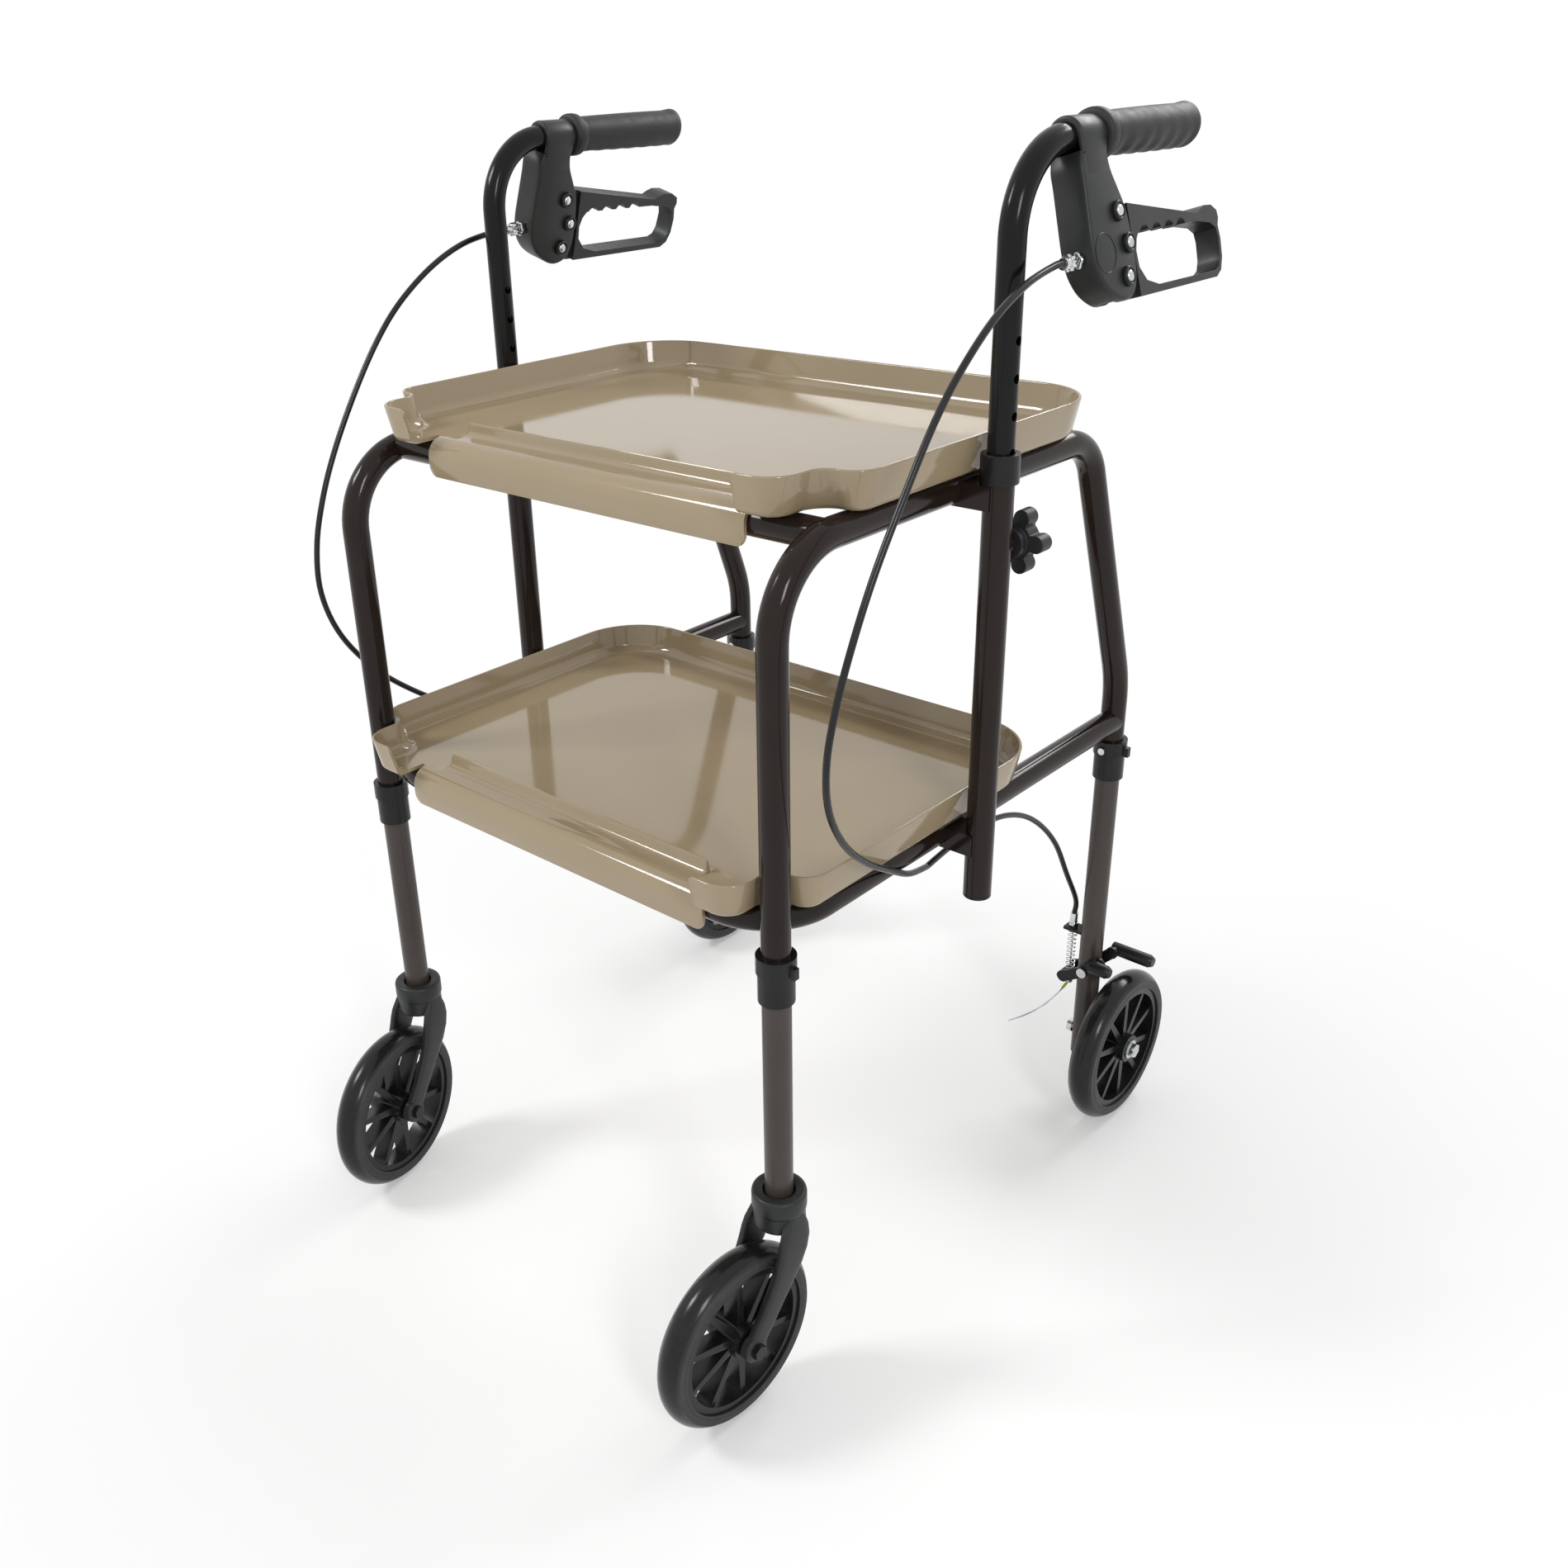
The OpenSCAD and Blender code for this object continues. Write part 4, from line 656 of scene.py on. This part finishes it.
def soft_rectangle(u, v):
    """A rectangle of half sizes u and v, with very round corners."""
    out = []
    for a in turns(ARM_SIDES):
        c, s = math.cos(a), math.sin(a)
        out.append((u * math.copysign(math.sqrt(abs(c)), c), v * math.copysign(math.sqrt(abs(s)), s)))
    return out


def run_at(points, i, wrap=False):
    """Direction of an outline or a line at one of its points, in Y and Z."""
    last = len(points) - 1
    before = points[i - 1] if wrap else points[max(i - 1, 0)]
    after = points[(i + 1) % len(points)] if wrap else points[min(i + 1, last)]
    return Vector((after[0] - before[0], after[1] - before[1])).normalized()


def arm_rings(hand):
    rings = []
    for i, (y, z, half, inner, outer) in enumerate(FORK_ARM):
        run = run_at(FORK_ARM, i)
        rings.append([(hand * ((outer + inner) / 2 + u), y - run[1] * v, z + run[0] * v)
                      for u, v in soft_rectangle((outer - inner) / 2, half)])
    return rings


def make_forks():
    """A cup round the stem whose wall runs out into two tapering arms."""
    shape = Shape()
    shape.turn(FORK_CUP, 64, lambda u, v, z: (u, v, z))
    for hand in (-1, 1):
        shape.strip(arm_rings(hand), capped=True)
        shape.turn([(r, hand * x) for r, x in FORK_BOSS], 40,
                   lambda u, v, x: (x, u - CASTER_TRAIL, v + WHEEL_R))
    for side, name in SIDES:
        ob = new_object(f"fork_{name}_casting", shape, angle=50)
        foot = Matrix.Translation(mm((side * SIDE_X, FRONT_Y, 0)))
        ob.matrix_world = foot @ Matrix.Rotation(CASTER_TURN[side], 4, "Z")
        dress(ob, MOULDED, f"fork_{name}")


make_forks()

# Brake handles: shares of the housing's width and drop
SLOT_W, BORE_R, CLAMP_R = 11.0, 9.75, 13.3
HOUSING_SHARES = ((0.15, 0.00), (0.124, -0.10), (0.065, -0.182), (0.056, -0.291), (0.019, -0.50),
                  (0.00, -0.655), (0.037, -0.782), (0.157, -0.882), (0.324, -0.95), (0.546, -1.00),
                  (0.75, -0.995), (0.898, -0.945), (0.981, -0.845), (1.00, -0.70), (0.981, -0.545),
                  (0.935, -0.436), (0.843, -0.336), (0.741, -0.227), (0.713, -0.127), (0.713, 0.00))
CLAMP_FROM_SHARE, CLAMP_TO_SHARE, CLAMP_FOOT_SHARE = 0.157, 0.78, 0.71
SLOT_SHARES = (0.53, -0.33)
BOLT_SHARES = ((0.702, -0.475), (0.837, -0.671), (0.704, -0.866))
BADGE_SHARES = (0.28, -0.705)
HOUSING_HALF = HOUSING_T / 2
CHEEK_TOP_Z, CHEEK_TOP_OVER = -11.0, 4.0
BLOCK_OVER, BLOCK_IN = 0.8, 0.03
CLAMP_FOOT_Z, CLAMP_WAIST_Z, CLAMP_TAPER_Z, CLAMP_WAIST_OUT = -26.0, -14.0, -10.0, 0.1
# Rounded edges of the cheeks and the strap, as depths below the face and insets
CHEEK_EDGE = [(2.2, 0.0), (1.35, 0.18), (0.65, 0.65), (0.17, 1.35), (0.0, 2.2)]
CLAMP_EDGE = [(1.8, 0.0), (0.9, 0.25), (0.25, 0.9), (0.0, 1.8)]
# The ring round the bare badge, the bolts and the cable adjuster, as (radius, along) pairs
BADGE_RING = [(12.5, -0.4), (12.5, 0.15), (12.75, 0.35), (13.15, 0.35), (13.4, 0.15), (13.4, -0.4)]
BOLT_COLLAR = [(4.2, -0.2), (7.0, -0.2), (6.9, 1.9), (6.6, 2.9), (5.9, 3.3), (4.9, 3.1), (4.3, 2.3)]
BOLT_HEAD = [(0.05, -0.2), (4.0, -0.2), (4.0, 2.3), (3.8, 3.0), (3.1, 3.6), (1.7, 3.95), (0.05, 4.05)]
BOLT_SHANK = [(0.05, -HOUSING_HALF), (2.9, -HOUSING_HALF), (2.9, HOUSING_HALF), (0.05, HOUSING_HALF)]
ADJUSTER_SCREW = [(0.05, 28.65), (2.9, 28.65), (3.0, 29.0), (3.0, 60.0), (0.05, 60.0)]
ADJUSTER_FERRULE = [(2.7, 28.7), (3.9, 28.7), (4.2, 29.2), (4.2, 33.6), (2.7, 33.6)]
ADJUSTER_THIMBLE = [(2.8, 33.8), (5.2, 33.8), (5.8, 34.6), (5.8, 41.4), (5.2, 42.2), (2.8, 42.2)]
ADJUSTER_NUT = [(2.8, 43.4), (5.4, 43.4), (6.2, 44.2), (6.2, 47.4), (5.6, 48.2), (2.8, 48.2)]
THIMBLE_LOBES, THIMBLE_DEPTH = 10, 1.3
NUT_LOBES, NUT_DEPTH = 6, 0.9
KNURL_FROM_R = 4.0


def housing_point(shares):
    return HOUSING_BACK + HOUSING_W * shares[0], HOUSING_DROP * shares[1]


def brake_object(name, side, shape, angle):
    """A piece of a brake handle, drawn straight below the grip's centre line and then leaned."""
    c, s = math.cos(HANDLE_LEAN), math.sin(HANDLE_LEAN)
    leaned = Shape()
    leaned.faces = shape.faces
    leaned.points = [(side * (SOCKET_X + x * c - z * s), SOCKET_Y + y, GRIP_Z + x * s + z * c)
                     for x, y, z in shape.points]
    return new_object(name, leaned, angle)


def across(at):
    """Places a turned piece on an axis along X through a point of the housing."""
    return lambda u, v, x: (x, at[0] + u, at[1] + v)


def add_prism(shape, outline, layers):
    """A closed block: an outline in Y and Z at each X, drawn in by an inset."""
    rings = []
    for x, inset in layers:
        ring = []
        for i, (y, z) in enumerate(outline):
            run = run_at(outline, i, wrap=True)
            ring.append((x, y - run[1] * inset, z + run[0] * inset))
        rings.append(ring)
    shape.strip(rings, capped=True)


def add_clamp(shape):
    """Strap over the handle tube: flush with the housing's faces, with softened edges."""
    front, rear, foot_rear = (HOUSING_BACK + HOUSING_W * share
                              for share in (CLAMP_FROM_SHARE, CLAMP_TO_SHARE, CLAMP_FOOT_SHARE))
    draw_in = (foot_rear - front) / (rear - front)
    layers = [(front + depth, inset) for depth, inset in reversed(CLAMP_EDGE)]
    layers += [(rear - depth, inset) for depth, inset in CLAMP_EDGE]
    inside = [(-BORE_R, CLAMP_FOOT_Z)] + arc(0, 0, BORE_R, 180, 0, 32) + [(BORE_R, CLAMP_FOOT_Z)]
    rings = []
    for y, inset in layers:
        half = HOUSING_HALF - inset
        waist = half + CLAMP_WAIST_OUT
        outside = [(half, CLAMP_FOOT_Z), (waist, CLAMP_WAIST_Z)] + arc(0, 0, CLAMP_R - inset, -18, 198, 40)
        outside += [(-waist, CLAMP_WAIST_Z), (-half, CLAMP_FOOT_Z)]
        rings.append([(x, y if z > CLAMP_TAPER_Z else front + (y - front) * draw_in, z)
                      for x, z in outside + inside])
    shape.strip(rings, capped=True)


def housing_outlines():
    """The cheeks' outline, and that of the block between them, which leaves the lever's slot open."""
    curve = catmull([(*housing_point(s), 0) for s in HOUSING_SHARES], 5)
    cheek = [(y, min(z, CHEEK_TOP_Z)) for y, z, _ in curve if z < CHEEK_TOP_Z + CHEEK_TOP_OVER]
    slot_y, slot_z = housing_point(SLOT_SHARES)
    front = [p for p in cheek if p[0] <= slot_y and p[1] > -HOUSING_DROP]
    rear = [p for p in cheek if p[0] > slot_y and p[1] >= slot_z]
    return cheek, front + [(slot_y, front[-1][1]), (slot_y, slot_z)] + rear


def make_housings():
    """Two rounded cheeks, the block between them, the strap over the tube and the badge's bare ring."""
    cheek, block = housing_outlines()
    layers = [(SLOT_W / 2, 0.0)]
    layers += [(HOUSING_HALF - depth, inset) for depth, inset in CHEEK_EDGE]
    shell = Shape()
    for hand in (-1, 1):
        add_prism(shell, cheek, [(hand * x, inset) for x, inset in layers])
    add_prism(shell, block, [(hand * (SLOT_W / 2 + BLOCK_OVER), BLOCK_IN) for hand in (-1, 1)])
    add_clamp(shell)
    ring = Shape()
    ring.turn([(r, HOUSING_HALF + x) for r, x in BADGE_RING], 72, across(housing_point(BADGE_SHARES)))
    for side, name in SIDES:
        node, body = f"brake_housing_{name}", f"handle_{name}"
        dress(brake_object(node + "_shell", side, shell, angle=40), MOULDED, node)
        dress(brake_object(node + "_ring", side, ring, angle=50), SATIN, None, body)


def make_bolts():
    """A black collar and a bright domed head at both ends of each bolt."""
    collars, heads = Shape(), Shape()
    for shares in BOLT_SHARES:
        at = across(housing_point(shares))
        for hand in (-1, 1):
            collars.turn([(r, hand * (HOUSING_HALF + x)) for r, x in BOLT_COLLAR], 36, at)
            heads.turn([(r, hand * (HOUSING_HALF + x)) for r, x in BOLT_HEAD], 36, at)
        heads.turn(BOLT_SHANK, 20, at)
    for side, name in SIDES:
        node, body = f"housing_bolts_{name}", f"handle_{name}"
        dress(brake_object(node + "_collars", side, collars, angle=45), SATIN, None, body)
        dress(brake_object(node + "_heads", side, heads, angle=45), STEEL, node, body)


def knurled(lobes, depth):
    """Radius of a knurled rim: lobes all round, and a core that stays round."""
    def radius(angle, r):
        return r - depth * (0.5 - 0.5 * math.cos(lobes * angle)) if r > KNURL_FROM_R else r
    return radius


def make_adjusters():
    """Screw with a knurled thimble, a lock nut and a ferrule for the cable."""
    axis_z = -HOUSING_DROP * ADJUSTER_SHARE

    def at(u, v, y):
        return u, y, axis_z + v

    shape = Shape()
    shape.turn(ADJUSTER_SCREW, 60, at)
    shape.turn(ADJUSTER_FERRULE, 60, at)
    shape.turn(ADJUSTER_THIMBLE, 60, at, radius=knurled(THIMBLE_LOBES, THIMBLE_DEPTH))
    shape.turn(ADJUSTER_NUT, 60, at, radius=knurled(NUT_LOBES, NUT_DEPTH))
    for side, name in SIDES:
        node = f"cable_adjuster_{name}"
        dress(brake_object(node + "_screw", side, shape, angle=40), STEEL, node)


make_housings()
make_bolts()
make_adjusters()

# Moulded and cast pieces: finish, width of the rounded edges and their segments
PAIRED = (("brake_lever", MOULDED, 1.4, 3), ("knob", MOULDED, 1.8, 3), ("brake_arm", SATIN, 0.6, 2),
          ("front_axle", SATIN, 0.8, 2))
SHARED = (("leg_collars", SATIN, 0.9, 2), ("tube_caps", SATIN, 1.1, 3), ("rear_axles", STEEL, 0.6, 2))
for _, name in SIDES:
    for stem, *finish in PAIRED:
        rounded(f"{stem}_{name}", *finish)
for node, *finish in SHARED:
    rounded(node, *finish)

# Springs and the wire inside them
SPRING_R, SPRING_WIRE_R, SPRING_END = 4.2, 0.6, 1.2
SPRING_LOW_Z, SPRING_HIGH_Z = 139.15, 187.85
SPRING_TURNS, SPRING_STEPS = 10, 24
SPRING_SEAT_Z, SPRING_FOOT_Z = 188.0, 139.0
CORE_R, CORE_Z = 0.8, (136.0, 150.0, 165.0, 175.0, 185.8)


def spring_path(side):
    """A helix with a straight rise at both ends."""
    x = side * BRAKE_X
    steps = SPRING_TURNS * SPRING_STEPS
    rise = SPRING_HIGH_Z - SPRING_LOW_Z - 2 * SPRING_END
    path = [Vector((x + SPRING_R, REAR_Y, SPRING_LOW_Z))]
    for i in range(steps + 1):
        a = 2 * math.pi * i / SPRING_STEPS
        path.append(Vector((x + SPRING_R * math.cos(a), REAR_Y + side * SPRING_R * math.sin(a),
                            SPRING_LOW_Z + SPRING_END + rise * i / steps)))
    return path + [Vector((x + SPRING_R, REAR_Y, SPRING_HIGH_Z))]


def make_springs():
    for side, name in SIDES:
        x = side * BRAKE_X
        shape = Shape()
        shape.strip(tube_rings(spring_path(side), SPRING_WIRE_R, 8), capped=True)
        core = [Vector((x, REAR_Y, z)) for z in CORE_Z]
        shape.strip(tube_rings(core, CORE_R, 10), capped=True)
        ob = new_object(f"brake_spring_{name}_coil", shape, angle=60)
        mm((x, REAR_Y, SPRING_SEAT_Z))
        mm((x, REAR_Y, SPRING_FOOT_Z))
        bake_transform(ob)
        ob.data.materials.append(STEEL)
        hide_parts(f"brake_spring_{name}")


# Wire ends: places from the brake's axis, in X, Y and Z
TAIL_WIRE_R, TAIL_FERRULE_R = 0.8, 1.4
TAIL_ROUTE = [(0, -2, 126), (-1, -12, 122), (-4, -26, 116), (-9, -42, 111), (-16, -58, 108),
              (-24, -72, 106)]
TAIL_FERRULE = [(-0.2, -3.6, 125.4), (-0.5, -6.5, 124.2), (-0.9, -10.0, 122.8)]
BARREL = [(0.2, 135.8), (3.4, 135.8), (4.0, 135.2), (4.0, 127.6), (3.5, 126.0), (2.2, 125.1), (0.2, 124.9)]
SCREW_HEAD = [(0.3, -10.0), (2.2, -10.0), (2.9, -9.4), (3.0, -8.6), (3.0, -3.0)]
SCREW_Z = 130.3


def hexagon(angle, r):
    """Radius of a hexagon whose corners lie on the circle of radius r."""
    half = math.radians(30)
    return r * math.cos(half) / math.cos(angle % (2 * half) - half)


def make_tails():
    """Loose end of the wire, a barrel nut with a domed foot, its hexagon screw and a bright ferrule."""
    for side, name in SIDES:
        def at(x, y, z):
            return Vector((side * (BRAKE_X + x), REAR_Y + y, z))

        shape = Shape()
        path = [at(*p) for p in catmull(TAIL_ROUTE, 6)]
        shape.strip(tube_rings(path, TAIL_WIRE_R, 8), capped=True)
        shape.turn(BARREL, 28, at, closed=False)
        shape.turn(SCREW_HEAD, 24, lambda u, v, x: at(x, u, v + SCREW_Z), closed=False, radius=hexagon)
        dress(new_object(f"cable_tail_{name}_wire", shape, angle=40), STEEL, f"cable_tail_{name}")
        ferrule = Shape()
        ferrule.strip(tube_rings([at(*p) for p in TAIL_FERRULE], TAIL_FERRULE_R), capped=True)
        dress(new_object(f"cable_tail_{name}_ferrule", ferrule), YELLOW, None, f"brake_{name}")


make_springs()
make_tails()

# Finishes of the CAD pieces that stay
PLAIN = {
    BROWN: ["side_frame_right", "side_frame_left", "front_cross_tube", "lower_frame", "socket_tube_right",
            "socket_tube_left", "socket_brackets", "cable_stops"],
    LEG: ["front_leg_right", "front_leg_left", "rear_leg_right", "rear_leg_left"],
    HANDLE: ["handle_tube_right", "handle_tube_left"],
    STEEL: ["leg_button_front_right", "leg_button_front_left", "leg_button_rear_right",
            "leg_button_rear_left", "caster_stems", "barrel_adjusters", "brake_pivots"],
}
for material, nodes in PLAIN.items():
    for node in nodes:
        for material_slot in NODES[node].material_slots:
            material_slot.material = material

# Floor and light, in metres and watts
FLOOR_HALF = 14.0
FLOOR_COLOURS = (0.90, 0.90, 0.90), (0.92, 0.92, 0.918)
FADE_FROM, FADE_TO, FADE_LEAST = 0.42, 1.05, 0.25
WORLD_LIGHT, WORLD_SEEN = 0.62, 1.0
LAMPS = (
    ("key", (-1.6, -1.8, 2.6), (0, 0, 0.5), (0.8, 0.8), 42),
    ("fill", (2.4, -1.4, 2.0), (0, 0, 0.5), (0.5, 0.9), 24),
    ("back", (0.3, 2.4, 2.4), (0, 0, 0.6), (1.6, 0.6), 34),
)


def seen_or_mirrored(tree):
    """1 for rays from the camera, off mirrors and through clear things; 0 for diffuse light."""
    path = tree.nodes.new("ShaderNodeLightPath")
    total = path.outputs["Is Camera Ray"]
    for kind in ("Is Glossy Ray", "Is Transmission Ray"):
        total = combine(tree, "MAXIMUM", total, path.outputs[kind])
    return total


def floor_material():
    """Away from the walker the floor turns white like the backdrop, for what is seen and mirrored only."""
    material, tree, bsdf, where = shader("pale_floor")
    soft = noise(tree, where, 1.5, detail=2.0)
    tree.links.new(ramp(tree, soft, *FLOOR_COLOURS), bsdf.inputs["Base Color"])
    bsdf.inputs["Roughness"].default_value = 0.7
    bsdf.inputs["Specular IOR Level"].default_value = 0.2
    far = tree.nodes.new("ShaderNodeVectorMath")
    far.operation = "LENGTH"
    tree.links.new(where.outputs["Object"], far.inputs[0])
    fade = spread(tree, far.outputs["Value"], FADE_LEAST, 1.0, FADE_FROM, FADE_TO)
    fade.interpolation_type = "SMOOTHSTEP"
    share = combine(tree, "MULTIPLY", fade.outputs["Result"], seen_or_mirrored(tree))
    white = tree.nodes.new("ShaderNodeEmission")
    white.inputs["Strength"].default_value = 1.0
    mix = tree.nodes.new("ShaderNodeMixShader")
    tree.links.new(share, mix.inputs["Fac"])
    tree.links.new(bsdf.outputs["BSDF"], mix.inputs[1])
    tree.links.new(white.outputs["Emission"], mix.inputs[2])
    tree.links.new(mix.outputs["Shader"], tree.nodes["Material Output"].inputs["Surface"])
    return material


def make_floor():
    mesh = bpy.data.meshes.new("floor")
    s = FLOOR_HALF
    mesh.from_pydata([(-s, -s, 0), (s, -s, 0), (s, s, 0), (-s, s, 0)], [], [(0, 1, 2, 3)])
    floor = bpy.data.objects.new("floor", mesh)
    link(floor)
    mesh.materials.append(floor_material())


def make_world():
    """A white backdrop that lights less than it shows."""
    world = bpy.data.worlds.new("studio")
    bpy.context.scene.world = world
    world.use_nodes = True
    tree = world.node_tree
    back = tree.nodes["Background"]
    back.inputs["Color"].default_value = (1.0, 1.0, 1.0, 1)
    level = spread(tree, seen_or_mirrored(tree), WORLD_LIGHT, WORLD_SEEN)
    tree.links.new(level.outputs["Result"], back.inputs["Strength"])


def make_lamp(name, at, aim, size, power):
    data = bpy.data.lights.new(name, "AREA")
    data.shape = "RECTANGLE"
    data.size, data.size_y = size
    data.energy = power
    ob = bpy.data.objects.new(name, data)
    link(ob)
    ob.location = at
    ob.rotation_mode = "QUATERNION"
    ob.rotation_quaternion = (Vector(aim) - Vector(at)).to_track_quat("-Z", "Y")


make_floor()
make_world()
for lamp in LAMPS:
    make_lamp(*lamp)
bpy.context.scene.view_settings.view_transform = "Standard"
